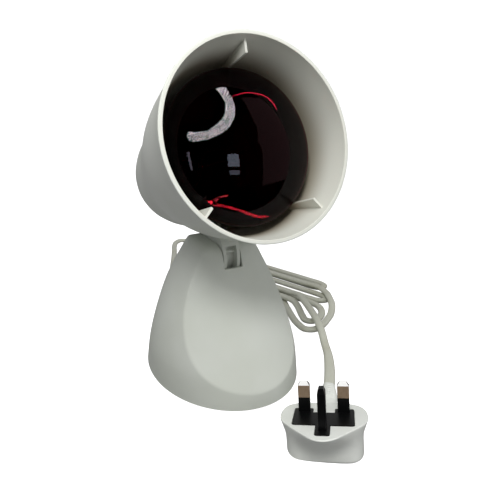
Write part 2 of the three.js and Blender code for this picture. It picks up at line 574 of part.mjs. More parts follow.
function neckScrewPlaces() {
  const curve = shadeCurve(-head.wall, 200);
  return [neckScrew.front, neckScrew.rear].map((depth) => {
    const near = curve.reduce((best, p) => (Math.abs(p[1] - depth) < Math.abs(best[1] - depth) ? p : best));
    return [0, depth, -near[0]];
  });
}

function leadBore() {
  const bore = rod('z', leadPort.radius, -head.rimRadius - overrun * 2, -head.rimRadius / 2, 0, 0, 14);
  return inLamp(bore.translate([0, leadPort.depth, 0]));
}

function buildShade() {
  const outer = shadeCurve();
  const inner = shadeCurve(-head.wall).reverse();
  const lip = [[head.rimRadius - head.wall - head.lip, head.wall], [head.rimRadius - head.wall - head.lip, 0]];
  let body = revolve([...outer, ...inner.slice(0, -1), ...lip, outer[0]], 40);
  const curve = shadeCurve(-head.wall / 2, 60);
  const shelfEdge = curve.find(([, depth]) => depth > shelf.rear)[0];
  body = body.add(ring(shelf.hole, shelfEdge, shelf.rear - shelf.thickness, shelf.rear, 40));
  const web = new THREE.Shape();
  const rootAt = (depth) => curve.find((p) => p[1] > depth)[0];
  web.moveTo(rootAt(fin.front), fin.front).lineTo(fin.reach, fin.front);
  web.lineTo(fin.reach, fin.rear).lineTo(rootAt(fin.rear), fin.rear);
  for (const turn of finTurns) {
    const one = plate(web, -fin.thickness / 2, fin.thickness / 2);
    body = body.add(one.rotate([0, -turn, 0]));
  }
  for (let i = 0; i < capPost.count; i += 1) {
    const [x, z] = capPostPlace(i);
    body = body.add(rod('y', capPost.radius, shelf.rear - seatGap, capPost.end, x, z, 10));
    const bore = rod('y', smallScrew.shank + boreGap, capPost.end - smallScrew.length, capPost.end + 1, x, z, 8);
    body = body.subtract(bore);
  }
  for (const x of [-holder.screwRing, holder.screwRing]) {
    body = body.add(rod('y', holder.bossRadius, holder.bossFront, shelf.rear - shelf.thickness + seatGap, x, 0, 10));
    body = body.subtract(rod('y', smallScrew.shank + boreGap, holder.bossFront + 1, shelf.rear + 1, x, 0, 8));
  }
  for (let i = 0; i < shelf.vents; i += 1) {
    const a = (-90 + (i * 360) / shelf.vents) * degrees;
    const [x, z] = [shelf.ventRing * Math.cos(a), shelf.ventRing * Math.sin(a)];
    body = body.subtract(rod('y', shelf.ventRadius, holder.bossFront, shelf.rear + 1, x, z, 8));
  }
  return cut(inLamp(body), ...neckScrewBores(), leadBore());
}

function capPostPlace(i) {
  const a = capPost.turn + (i * 2 * Math.PI) / capPost.count;
  return [capPost.ring * Math.cos(a), capPost.ring * Math.sin(a)];
}

function capOutline(inset) {
  const start = head.depth + seatGap;
  const points = capDepthShares.map((d, i) => {
    const radius = Math.max(capRadiusShares[i] * rearCap.radius - inset, 0);
    return [radius, start + d * rearCap.depth - (d > 0.9 ? inset : inset * d)];
  });
  return [[0, start], ...points];
}

function buildRearCap() {
  const start = head.depth + seatGap;
  const filled = revolve(capOutline(0), 28);
  let body = filled.subtract(revolve(capOutline(rearCap.wall), 28));
  const lipRadius = shadeCurve(-head.wall - seatGap, 60).find(([, d]) => d > head.depth - rearCap.lip)[0];
  const seam = rearCap.radius - rearCap.wall;
  const lipInner = head.rimRadius * shadeRadiusShares[10] - head.wall - 2 * seatGap - rearCap.lipWall;
  const lip = revolve([
    [lipInner, start - rearCap.lip], [lipInner + rearCap.lipWall, start - rearCap.lip],
    [lipInner + rearCap.lipWall, start], [seam + seatGap, start + seatGap], [seam + seatGap, start + rearCap.lipWall],
    [lipInner, start + rearCap.lipWall], [lipInner, start - rearCap.lip],
  ], 28);
  body = body.add(lip.intersect(revolve([[0, 0], [lipRadius, 0], [lipRadius, start], [rearCap.radius, start],
    [rearCap.radius, start + rearCap.depth], [0, start + rearCap.depth]], 28)));
  for (let i = 0; i < capPost.count; i += 1) {
    const [x, z] = capPostPlace(i);
    const boss = rod('y', capPost.bossRadius, capPost.end + seatGap, start + rearCap.depth, x, z, 12);
    body = body.add(boss.intersect(filled));
    body = body.subtract(rod('y', smallScrew.head + boreGap * 2, capPost.recess, start + rearCap.depth + 1, x, z, 12));
    body = body.subtract(rod('y', smallScrew.shank + boreGap, capPost.end, start + rearCap.depth, x, z, 8));
  }
  for (let i = 0; i < vent.count; i += 1) {
    const gapBox = block(vent.inner, vent.outer, start + overrun, start + rearCap.depth + 1, -vent.width / 2, vent.width / 2);
    body = body.subtract(gapBox.rotate([0, (i * 360) / vent.count + 180 / vent.count, 0]));
  }
  return inLamp(body);
}

function buildHeadParts() {
  const screwAt = (x, y, z) => inLamp(screw(smallScrew).rotate([-90, 0, 0]).translate([x, y, z]));
  const capScrews = [0, 1, 2].map((i) => {
    const [x, z] = capPostPlace(i);
    return piece(`cap_screw_${i + 1}`, screwAt(x, capPost.recess + seatGap, z), materials.steel);
  });
  const holderBack = shelf.rear + 2 * seatGap + holder.flange;
  const holderScrews = [-1, 1].map((side, i) => {
    const body = screwAt(side * holder.screwRing, holderBack, 0);
    return piece(`holder_screw_${i + 1}`, body, materials.steel);
  });
  const neckScrews = neckScrewPlaces().map((at, i) => {
    const body = screw(smallScrew).translate([0, 0, neckScrew.pad]);
    const leaned = body.rotate([neckScrew.lean / degrees, 0, 0]).translate(at);
    return piece(`neck_screw_${i + 1}`, inLamp(leaned), materials.steel);
  });
  return [
    piece('shade', buildShade(), materials.shade),
    piece('rear_cap', buildRearCap(), materials.shade),
    piece('neck', buildNeck(), materials.housing),
    ...capScrews, ...holderScrews, ...neckScrews,
  ];
}

// Lampholder
function buildHolder() {
  const bodyRing = revolve([
    [holder.bore, holder.front], [holder.radius, holder.front], [holder.radius, holder.back - holder.chamfer],
    [holder.radius - holder.chamfer, holder.back], [0, holder.back], [0, holder.boreEnd], [holder.bore, holder.boreEnd], [holder.bore, holder.front],
  ], 28);
  const from = shelf.rear + seatGap;
  const flange = ring(holder.bore + 1, holder.flangeRadius, from, from + holder.flange, 28);
  const far = holder.flangeRadius + 1;
  const ears = flange.intersect(block(-far, far, from, from + holder.flange, -holder.earHalf, holder.earHalf));
  let body = join(bodyRing, ears);
  for (const x of [-holder.screwRing, holder.screwRing]) {
    body = body.subtract(rod('y', smallScrew.shank + boreGap, from - 1, from + holder.flange + 1, x, 0, 12));
  }
  for (const x of [-vitrite.radius / 2, vitrite.radius / 2]) {
    body = body.subtract(rod('y', leadPort.tubeRadius, holder.boreEnd - 1, holder.back + 1, x, 0, 12));
  }
  return body;
}

function buildHolderParts() {
  const outer = shell.radius;
  const inner = outer - shell.wall;
  const threadShell = ring(inner, outer, shell.front, shell.back, 28);
  const reach = springContact.reach;
  const tongue = new THREE.Shape();
  const seat = bulbTip.back + seatGap;
  tongue.moveTo(-reach / 2, seat).lineTo(reach / 2, seat);
  tongue.lineTo(reach / 2, seat + springContact.thickness).lineTo(-reach / 2, seat + springContact.thickness);
  const leaf = plate(tongue, -springContact.width / 2, springContact.width / 2);
  return [
    piece('lampholder', inLamp(buildHolder()), materials.porcelain),
    piece('holder_shell', inLamp(threadShell), materials.brass),
    piece('holder_contact', inLamp(leaf), materials.brass),
  ];
}

// Bulb
function bulbOutline(inset, count) {
  const curve = spline(bulbDepthShares, bulb.length, bulbRadiusShares, bulb.radius, bulb.front);
  const points = curve.getPoints(count);
  return points.map((p, i) => {
    const a = points[Math.max(i - 1, 0)];
    const b = points[Math.min(i + 1, count)];
    const normal = new THREE.Vector2(b.y - a.y, a.x - b.x).normalize();
    const axial = i === 0;
    return axial ? [0, p.y + inset] : [Math.max(p.x - normal.x * inset, 0.01), p.y - normal.y * inset];
  });
}

function buildBulbCap() {
  const { radius, groove, wall, front, back, threads, throat } = bulbCap;
  const outline = [[radius - wall, front], [radius, front]];
  const pitch = (back - throat - front) / threads;
  for (let i = 0; i < threads; i += 1) {
    const at = front + throat / 2 + i * pitch;
    outline.push([radius - groove, at], [radius, at + pitch / 2]);
  }
  outline.push([radius - groove, back - throat / 2], [vitrite.radius, back], [vitrite.radius - wall, back]);
  const inside = radius - groove - wall;
  outline.push([inside, back - throat / 2 - wall], [inside, front + overrun], [radius - wall, front]);
  return revolve(outline, 20);
}

function wire(points, radius, sides = 8, steps = 12) {
  const path = new THREE.CatmullRomCurve3(points.map((p) => new THREE.Vector3(...p)));
  const shape = new THREE.Shape();
  shape.absarc(0, 0, radius, 0, 2 * Math.PI, false);
  const settings = { steps, extrudePath: path, curveSegments: sides / 2, bevelEnabled: false };
  return solid(new THREE.ExtrudeGeometry(shape, settings));
}

function buildBulb() {
  const glass = revolve([...bulbOutline(0, 17), ...bulbOutline(bulb.wall, 12).reverse()], 32);
  const insulatorFront = bulbCap.back + seatGap;
  const insulator = revolve([
    [0, insulatorFront], [vitrite.radius, insulatorFront], [vitrite.tipRadius, vitrite.back], [0, vitrite.back],
  ], 20);
  const tipFront = vitrite.back + seatGap;
  const tip = revolve([
    [0, tipFront], [bulbTip.radius, tipFront], [bulbTip.radius * 0.7, bulbTip.back], [0, bulbTip.back],
  ], 16);
  const mountBody = revolve([
    [0, stem.front], [stem.neckRadius * 0.8, stem.front], [stem.neckRadius, stem.flatEnd],
    [stem.neckRadius, stem.flareFront], [stem.flareRadius, stem.flareBack], [0, stem.flareBack],
  ], 16);
  const { spread, depth, height, leadSpread, leadRadius } = filament;
  const coil = wire([
    [-spread, depth, -height], [-spread * 0.6, depth, height], [0, depth, height * 1.5],
    [spread * 0.6, depth, height], [spread, depth, -height],
  ], filament.radius, 8, 20);
  const leads = [-1, 1].map((sign) => wire([
    [sign * leadSpread, stem.front - seatGap, 0], [sign * (leadSpread + spread) * 0.5, (stem.front + depth) / 2, 0],
    [sign * spread, depth + filament.radius + seatGap, -height],
  ], leadRadius, 6, 8));
  return [
    piece('bulb_glass', inLamp(glass), materials.ruby),
    piece('bulb_cap', inLamp(buildBulbCap()), materials.brass),
    piece('bulb_insulator', inLamp(insulator), materials.vitrite),
    piece('bulb_tip', inLamp(tip), materials.brass),
    piece('bulb_stem', inLamp(mountBody), materials.clear),
    piece('filament', inLamp(coil), materials.tungsten),
    piece('filament_lead_1', inLamp(leads[0]), materials.steel),
    piece('filament_lead_2', inLamp(leads[1]), materials.steel),
  ];
}

// Wiring inside the lamp
function buildTerminal() {
  const low = base.height + base.thickness + seatGap;
  const half = terminal.width / 2;
  const front = terminal.y - terminal.depth / 2;
  const rear = terminal.y + terminal.depth / 2;
  let body = block(-half, half, front, rear, low, low + terminal.height);
  for (const step of [-1, 0, 1]) {
    const x = step * terminal.wellPitch;
    body = body.subtract(rod('z', terminal.wellRadius, low + terminal.height / 2, low + terminal.height + 1, x, terminal.y, 8));
    body = body.subtract(rod('y', terminal.wireRadius, front - 1, rear + 1, x, gland.height, 8));
  }
  return body;
}

function buildSaddle() {
  const low = gland.height + flex.thickness / 2 + seatGap;
  const bed = gland.height - flex.thickness / 2;
  const [front, rear] = [saddle.y - saddle.depth / 2, saddle.y + saddle.depth / 2];
  const half = saddle.width / 2;
  const inner = flex.width / 2 + seatGap;
  let body = block(-half, half, front, rear, low, low + saddle.height);
  body = join(body, block(-half, -inner, front, rear, bed, low + seatGap), block(inner, half, front, rear, bed, low + seatGap));
  for (const x of [-saddle.screwX, saddle.screwX]) {
    body = body.subtract(rod('z', smallScrew.shank + boreGap, 0, low + saddle.height + 1, x, saddle.y, 12));
  }
  return body;
}

// Section of a strain relief or of the cord: a flat oval
function ovalShape(width, thickness, corner = 3) {
  const radius = thickness / 2;
  const reach = width / 2 - radius;
  const points = [];
  for (const [side, start] of [[1, -90], [-1, 90]]) {
    for (let i = 0; i <= corner; i += 1) {
      const a = (start + (i * 180) / corner) * degrees;
      points.push(new THREE.Vector2(side * reach + radius * Math.cos(a), radius * Math.sin(a)));
    }
  }
  return points;
}

function ovalRing(width, thickness, y) {
  return ovalShape(width, thickness, 5).map((p) => new THREE.Vector3(p.x, y, p.y));
}

function reliefForm(width, thickness, from, to, endWidth = width, endThickness = thickness) {
  return loft([ovalRing(width, thickness, from), ovalRing(endWidth, endThickness, to)]);
}

function strainRelief(length, root, tip, ribs) {
  const rings = [];
  const parts = ribs * 2 + 1;
  for (let i = 0; i <= parts; i += 1) {
    const share = i / parts;
    const groove = i > 0 && i < parts ? seatGap * 1.6 : 0;
    const shrink = i % 2 ? groove : 0;
    const width = root[0] + (tip[0] - root[0]) * share - 2 * shrink;
    const thick = root[1] + (tip[1] - root[1]) * share - 2 * shrink;
    const y = length * share;
    rings.push(ovalRing(width, thick, y - seatGap), ovalRing(width, thick, y + seatGap));
  }
  const bore = reliefForm(flex.width + 2 * boreGap, flex.thickness + 2 * boreGap, -overrun * 2, length + overrun);
  return { form: loft(rings), bore };
}

function buildGland() {
  const { inner, outer, collar } = wallAtGland;
  const neckWidth = gland.rootWidth - boreGap;
  const neckDepth = gland.rootDepth - boreGap;
  const tail = strainRelief(gland.tip - outer - seatGap, [gland.rootWidth + 2, gland.rootDepth + 2], [gland.tipWidth, gland.tipDepth], glandRibs);
  const collarWidth = gland.rootWidth + collar;
  const collarDepth = gland.rootDepth + collar;
  const insideCollar = reliefForm(collarWidth, collarDepth, inner - seatGap - collar, inner - seatGap);
  const through = reliefForm(neckWidth, neckDepth, inner - collar, outer + 1);
  const body = join(insideCollar, through, tail.form.translate([0, outer + 2 * seatGap, 0]));
  return cut(body, tail.bore.translate([0, outer, 0])).translate([0, 0, gland.height]);
}

// A route on which a flat section stays level
class LevelRoute extends THREE.CatmullRomCurve3 {
  constructor(points) {
    super(points.map((p) => new THREE.Vector3(...p)), false, 'centripetal');
  }

  getSpacedPoints(steps) {
    return this.getPoints(steps);
  }

  computeFrenetFrames(steps) {
    const up = new THREE.Vector3(0, 0, 1);
    const frames = { tangents: [], normals: [], binormals: [] };
    for (let i = 0; i <= steps; i += 1) {
      const tangent = this.getTangent(i / steps);
      const side = new THREE.Vector3().crossVectors(tangent, up).normalize();
      frames.tangents.push(tangent);
      frames.normals.push(side);
      frames.binormals.push(new THREE.Vector3().crossVectors(side, tangent));
    }
    return frames;
  }
}

function flexAlong(route, perPoint) {
  const path = new LevelRoute(route);
  const shape = new THREE.Shape(ovalShape(flex.width, flex.thickness));
  const steps = (route.length - 1) * perPoint;
  return solid(new THREE.ExtrudeGeometry(shape, { steps, extrudePath: path, bevelEnabled: false }));
}

function hankPoints() {
  const along = [-Math.sin(hankTurn), Math.cos(hankTurn)];
  const across = [along[1], -along[0]];
  return hankRoute.map(([p, q, z]) => [
    hankOrigin[0] + p * along[0] + q * across[0], hankOrigin[1] + p * along[1] + q * across[1], z,
  ]);
}

// Least gap between far-apart stretches of the lead, its length, and its lowest point
function measureFlex() {
  const points = [];
  for (const route of [leadRoute, hankPoints(), runRoute]) {
    points.push(...new LevelRoute(route).getPoints(route.length * 12));
  }
  const travel = [0];
  for (let i = 1; i < points.length; i += 1) travel.push(travel[i - 1] + points[i].distanceTo(points[i - 1]));
  let least = Infinity;
  let at = null;
  for (let i = 0; i < points.length; i += 1) {
    for (let j = i + 1; j < points.length; j += 1) {
      const flat = Math.hypot(points[i].x - points[j].x, points[i].y - points[j].y) - flex.width;
      const rise = Math.abs(points[i].z - points[j].z) - flex.thickness;
      const gap = Math.max(flat, rise);
      if (travel[j] - travel[i] > flex.width * 3 && gap < least) {
        least = gap;
        at = [points[i], points[j]].map((p) => p.toArray().map((value) => Math.round(value * 10) / 10).join(' '));
      }
    }
  }
  const length = Math.round(travel[travel.length - 1]);
  console.log(`lead: least gap ${least.toFixed(2)} mm at ${at.join(' | ')}, free length ${length} mm`);
}

function buildCord() {
  const tail = [[0, terminal.y + terminal.depth / 2 + seatGap, gland.height], [0, saddle.y, gland.height], [0, flex.tailBack, gland.height]];
  return [
    piece('cord_tail', flexAlong(tail, 2), materials.flex),
    piece('cord_lead', flexAlong(leadRoute, 2), materials.flex),
    piece('cord_hank', flexAlong(hankPoints(), 2), materials.flex),
    piece('cord_run', flexAlong(runRoute, 3), materials.flex),
  ];
}

function buildWiring() {
  const screws = [-1, 1].map((side, i) => {
    const top = gland.height + flex.thickness / 2 + saddle.height + 2 * seatGap;
    return piece(`saddle_screw_${i + 1}`, screw(smallScrew, largeScrew.length * 0.7).translate([side * saddle.screwX, saddle.y, top]), materials.steel);
  });
  const roomBelow = terminal.y - terminal.depth / 2;
  const down = wire([
    [0, -9.4, pivot.height + 3], [0, -9, pivot.height - 4], [0, -8.6, pivot.height - 8], [0, -9.4, pivot.height - 14],
    [0, carrier.leadY, carrier.plateTop],
    [0, carrier.leadY - 1, 45], [0, roomBelow - 6, 22], [0, roomBelow - 5, gland.height + 2], [0, roomBelow - seatGap, gland.height],
  ], leadPort.tubeRadius, 8, 28);
  const port = -head.rimRadius;
  const up = wire([
    [0, holder.back + 2, -4], [0, holder.back + 2, -14], [0, holder.back + 0.6, -19],
    [0, holder.back - 2.4, -22], [0, 139, -25.5], [0, 128, -28], [0, 121, -29.6], [0, shelf.rear, -shelf.ventRing], [0, 98, -33.5], [0, 84, -36.5], [0, leadPort.depth + 0.4, -41],
    [0, leadPort.depth, port + 9], [0, leadPort.depth + 0.3, port + 4.5],
  ], leadPort.tubeRadius, 8, 26);
  return [
    piece('terminal_block', buildTerminal(), materials.nylon),
    piece('cord_saddle', buildSaddle(), materials.nylon),
    piece('cord_gland', buildGland(), materials.flex),
    piece('hinge_lead', down, materials.flex),
    piece('head_lead', inLamp(up), materials.flex),
    ...screws,
  ];
}

// Plug
function plugPlace(body) {
  return body.rotate([plug.pitch, 0, 0]).rotate([0, plug.roll, 0]).rotate([0, 0, plug.yaw])
    .translate([plug.x, plug.y, plug.height]);
}

function plugRing(share, wide, earth, cord) {
  const half = plugOutlineX.map((x, i) => {
    const reach = plugOutlineY[i] < 0 ? plug.earthReach * earth : plug.cordReach * cord;
    return [x * plug.halfWidth * wide, plugOutlineY[i] * reach];
  });
  const end = [0, plug.cordReach * cord];
  const loop = [...half, end, ...half.slice(1).reverse().map(([x, y]) => [-x, y])];
  const curve = new THREE.CatmullRomCurve3(loop.map(([x, y]) => new THREE.Vector3(x, y, -share * plug.depth)), true);
  return curve.getPoints(40).slice(0, 40);
}

function floorCut(body, height = seatGap) {
  const far = plug.halfWidth * 20;
  return body.subtract(block(-far, far, -far, far, -far, height));
}

function plugBody() {
  const rings = plugDepthShares.map((d, i) => plugRing(d, plugWidthShares[i], plugEarthShares[i], plugCordShares[i]));
  const lower = plugDepthShares.length - 1;
  rings.push(plugRing(plug.foot, plugWidthShares[lower], plugEarthShares[lower], plugCordShares[lower]));
  return loft(rings);
}

function carrierOutline(grow) {
  const { barHalf, barFront, barRear, earInner, earRear, stemHalf, stemFront } = carrierPlate;
  const right = [
    [stemHalf + grow, stemFront - grow], [stemHalf + grow, barFront - grow], [barHalf + grow, barFront - grow],
    [barHalf + grow, earRear + grow], [earInner - grow, earRear + grow], [earInner - grow, barRear + grow],
  ];
  const points = [...right, ...right.slice().reverse().map(([x, y]) => [-x, y])];
  return new THREE.Shape(points.map(([x, y]) => new THREE.Vector2(x, y)));
}

function pinBlock(x, y, width, depth, low, high, taper = 0) {
  const rings = [[low, 0], [high - taper, 0], [high, taper]].map(([z, inset]) => {
    const [w, d] = [width / 2 - inset, depth / 2 - inset];
    return [[-w, -d], [w, -d], [w, d], [-w, d]].map(([a, b]) => new THREE.Vector3(x + a, y + b, z));
  });
  return loft(taper ? rings : rings.slice(0, 2));
}

function reliefPlace(body) {
  return body.rotate([relief.drop, 0, 0]).rotate([0, 0, relief.turn]).translate([relief.x, relief.y, relief.z]);
}

function buildPlug() {
  const { spacing, width, depth, length, sleeve, core, root, tip } = pin;
  const face0 = plug.carrierRise;
  const live = [-spacing, spacing].map((x) => {
    const shank = pinBlock(x, 0, width - 2 * core, depth - 2 * core, -root, sleeve + face0 + 1);
    return shank.add(pinBlock(x, 0, width, depth, sleeve + face0 + seatGap, length, tip));
  });
  const sleeves = [-spacing, spacing].map((x) => {
    const outer = pinBlock(x, 0, width, depth, face0 - plug.carrierDepth, sleeve + face0);
    const gap = 2 * (core - boreGap);
    return outer.subtract(pinBlock(x, 0, width - gap, depth - gap, -root, sleeve + overrun));
  });
  const earth = pinBlock(0, pin.earthY, pin.earthWidth, pin.earthDepth, -root, pin.earthLength, tip);
  const bore = boreGap * 2;
  const pinHoles = [
    pinBlock(-spacing, 0, width + bore, depth + bore, -plug.carrierDepth - 1, overrun),
    pinBlock(spacing, 0, width + bore, depth + bore, -plug.carrierDepth - 1, overrun),
    pinBlock(0, pin.earthY, pin.earthWidth + bore, pin.earthDepth + bore, -root - seatGap, overrun),
  ];
  const rootHoles = [-spacing, spacing].map((x) => {
    return pinBlock(x, 0, width - 2 * core + bore, depth - 2 * core + bore, -root - seatGap, overrun);
  });
  const insert = cut(plate(carrierOutline(0), -plug.carrierDepth, face0), ...pinHoles);
  const pocket = plate(carrierOutline(boreGap), -plug.carrierDepth - seatGap, overrun);
  const boot = strainRelief(relief.length, [relief.rootWidth, relief.rootDepth], [gland.tipWidth - 0.6, gland.tipDepth], relief.ribs);
  const bootHole = reliefForm(relief.rootWidth + 2 * seatGap, relief.rootDepth + 2 * seatGap, -overrun, relief.length);
  let shellBody = cut(plugPlace(cut(plugBody(), pocket, ...pinHoles, ...rootHoles)), reliefPlace(bootHole));
  shellBody = floorCut(shellBody).decompose().sort((a, b) => b.volume() - a.volume())[0];
  const boots = floorCut(reliefPlace(cut(boot.form, boot.bore)));
  return [
    piece('plug_body', shellBody, materials.plug),
    piece('pin_carrier', plugPlace(insert), materials.black),
    piece('line_pin', plugPlace(live[1]), materials.brass),
    piece('neutral_pin', plugPlace(live[0]), materials.brass),
    piece('line_sleeve', plugPlace(sleeves[1]), materials.black),
    piece('neutral_sleeve', plugPlace(sleeves[0]), materials.black),
    piece('earth_pin', plugPlace(earth), materials.black),
    piece('plug_relief', boots, materials.plug),
  ];
}

const model = new THREE.Group();
model.name = 'heat_lamp';
model.add(piece('stand_hood', buildHood(), materials.housing));
for (const build of [buildUnderside, buildHinge, buildHeadParts, buildHolderParts, buildBulb, buildWiring, buildCord, buildPlug]) {
  model.add(...build());
}
model.position.y = -lamp.setBack;
measureFlex();

export default model;
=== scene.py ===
"""Looks of an infrared heat therapy lamp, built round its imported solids."""
import functools
import json
import math

import bmesh
import bpy
import numpy as np
from mathutils import Matrix, Vector


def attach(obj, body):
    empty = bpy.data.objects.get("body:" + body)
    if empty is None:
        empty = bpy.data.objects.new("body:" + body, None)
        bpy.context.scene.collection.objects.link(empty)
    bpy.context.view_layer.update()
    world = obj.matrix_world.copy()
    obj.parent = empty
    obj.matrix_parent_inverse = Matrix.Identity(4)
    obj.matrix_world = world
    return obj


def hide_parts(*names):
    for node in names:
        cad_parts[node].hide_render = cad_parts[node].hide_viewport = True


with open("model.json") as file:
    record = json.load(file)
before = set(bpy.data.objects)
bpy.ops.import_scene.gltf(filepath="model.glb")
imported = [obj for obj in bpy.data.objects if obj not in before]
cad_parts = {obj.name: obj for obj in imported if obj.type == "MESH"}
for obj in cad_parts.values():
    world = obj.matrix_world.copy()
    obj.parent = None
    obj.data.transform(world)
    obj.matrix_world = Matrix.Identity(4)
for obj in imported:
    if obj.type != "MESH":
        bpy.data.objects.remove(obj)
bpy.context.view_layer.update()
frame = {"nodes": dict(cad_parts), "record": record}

bl_info = {
    "name": "Heat therapy lamp",
    "version": (1, 0, 0),
    "blender": (4, 5, 0),
    "location": "View3D > Sidebar > Heat lamp",
    "description": "Builds the shade, stand, bulb, cord, plug, finishes and studio of an infrared heat lamp",
    "category": "Object",
}

# The lamp's own millimetres start under the hinge's axle, which lies this far before the frame's origin
MM = 0.001
SET_BACK = 8.1
TILT = {"rest": 19, "low": -19, "high": 12 + 2 / 3, "clicks": 6}
RIM = Vector((0, -61.6, 170.1))

# Stand, in millimetres, as in the solids; rays from its core find its skin
STAND = {
    "top": 98, "width": 52.1, "front": 69.5, "rear": 66.4, "wall": 2.2, "floor": 0.8, "slant_share": 0.92,
}
STAND_RAYS = {
    "core": 2, "bend": 58, "reach": 90, "halvings": 36, "sides": 480, "outer": (96, 120), "inner": (14, 22),
}
STAND_HEIGHTS = [0, 0.224, 0.449, 0.673, 0.878, 1]
STAND_WIDTHS = [1, 0.965, 0.856, 0.693, 0.495, 0.374]
STAND_FRONTS = [1, 0.934, 0.827, 0.721, 0.626, 0.534]
STAND_REARS = [1, 0.864, 0.753, 0.646, 0.48, 0.348]
FACE = {"toe": 56.9, "lean": math.radians(30.8), "crown": 11.9, "half": 38, "hollow": 8.4, "mid": 45}
ROOF_ALONG = [(-25, 86), (-21, 96.5), (-9, 96.5), (9, 96.5), (19, 96.5), (31, 86)]
ROOF_ACROSS = [(-26, 86), (-21, 96.5), (-12, 96.5), (12, 96.5), (21, 96.5), (26, 86)]
ROOF_MARGIN = 60
SLOT = {"half": 6.75, "bottom": 80.9, "front": -90, "rear": 15, "over": 5, "soft": 0.5}
WALL_HOLE = {"width": 12.9, "thick": 10.1, "inner": 50, "outer": 80}

# Neck: angles in degrees round the axle; each pocket has its radii and its first and last angle
NECK = {
    "pivot": 86, "half": 6.1, "pocket": 3.9, "radius": 23.2, "front": -18.5, "rear": 10.5, "plate": 95.3,
    "top": 112, "detent": 13, "back": 8.6, "bore": 2.75, "notch": 0.6, "through": 8, "seat_gap": 0.3,
    "seat_front": 20, "soft": 0.25,
}
NECK_ARCS = {"front_end": 212, "detent": (245, 309), "back": (-25, 5)}
NECK_POCKETS = ((17.4, 30.2, 100, 250), (6.4, 14.4, 85, 236))
NECK_ROOF = ((-20, -60, NECK["plate"]), (20, 60, 130))
NECK_PEG = {"radius": 1.3, "spot": (-17.4, 90.5), "sunk": 0.3}

# Head: depths run back from the rim along the head's axis; a rod has its radius and its two depths
SHADE = {"radius": 59, "depth": 128, "wall": 2.4, "lip": 0.2, "rim_round": (0.9, 0.4), "back_round": 0.35}
SHELF = {"rear": 113.5, "thick": 2.4, "hole": 20.4}
SHADE_DEPTHS = [0, 0.078, 0.156, 0.234, 0.328, 0.43, 0.547, 0.664, 0.781, 0.898, 1]
SHADE_RADII = [1, 0.973, 0.951, 0.932, 0.908, 0.871, 0.812, 0.751, 0.705, 0.668, 0.62]
FIN = {"thick": 1.5, "front": 5.5, "rear": 59, "reach": 48.1, "rounds": (0, 0.5, 0.4, 0), "soft": 0.2}
FIN_TURNS = (88, -49.5, -134.7)
POSTS = {"count": 3, "ring": 24.3, "first": 90}
POST_ROD = (3.2, 113.2, 143.3)
WELL_ROD = (3.9, 143.6, 149.5)
RECESS_ROD = (2.8, 146.4, 160)
VENTS = {"count": 6, "ring": 31.5, "first": -90}
VENT_ROD = (2.8, 105, 120)
CAP = {"start": 128.3, "depth": 26.7, "wall": 2.2, "side_wall": 4.4, "radius": 35.5}
CAP_LIP = {"outer": 33.6, "inner": 31.8, "reach": 3.6, "seam": 0.2, "end": 1.4}
CAP_VENTS = {"count": 10, "inner": 6.5, "outer": 15.5, "half": 1.2, "low": 6, "over": 2, "round": 1.15}
CAP_DEPTHS = [0, 0.1, 0.24, 0.39, 0.54, 0.69, 0.82, 0.91, 0.97, 1, 1]
CAP_RADII = [1, 0.994, 0.972, 0.934, 0.873, 0.806, 0.732, 0.66, 0.563, 0.48, 0]
BULB = {"radius": 47.5, "front": 11.5, "length": 131.3, "wall": 1}
MIRROR_COAT = {"gap": 0.25, "thick": 0.15, "front": 26.5, "rear": 104}
BULB_DEPTHS = [
    0, 0.006, 0.022, 0.045, 0.067, 0.088, 0.11, 0.145, 0.202, 0.278, 0.369, 0.461, 0.545, 0.621, 0.689, 0.75,
    0.777, 0.811,
]
BULB_RADII = [
    0, 0.253, 0.505, 0.716, 0.863, 0.956, 0.996, 0.989, 0.943, 0.84, 0.69, 0.53, 0.4, 0.32, 0.284, 0.272,
    0.25, 0.25,
]

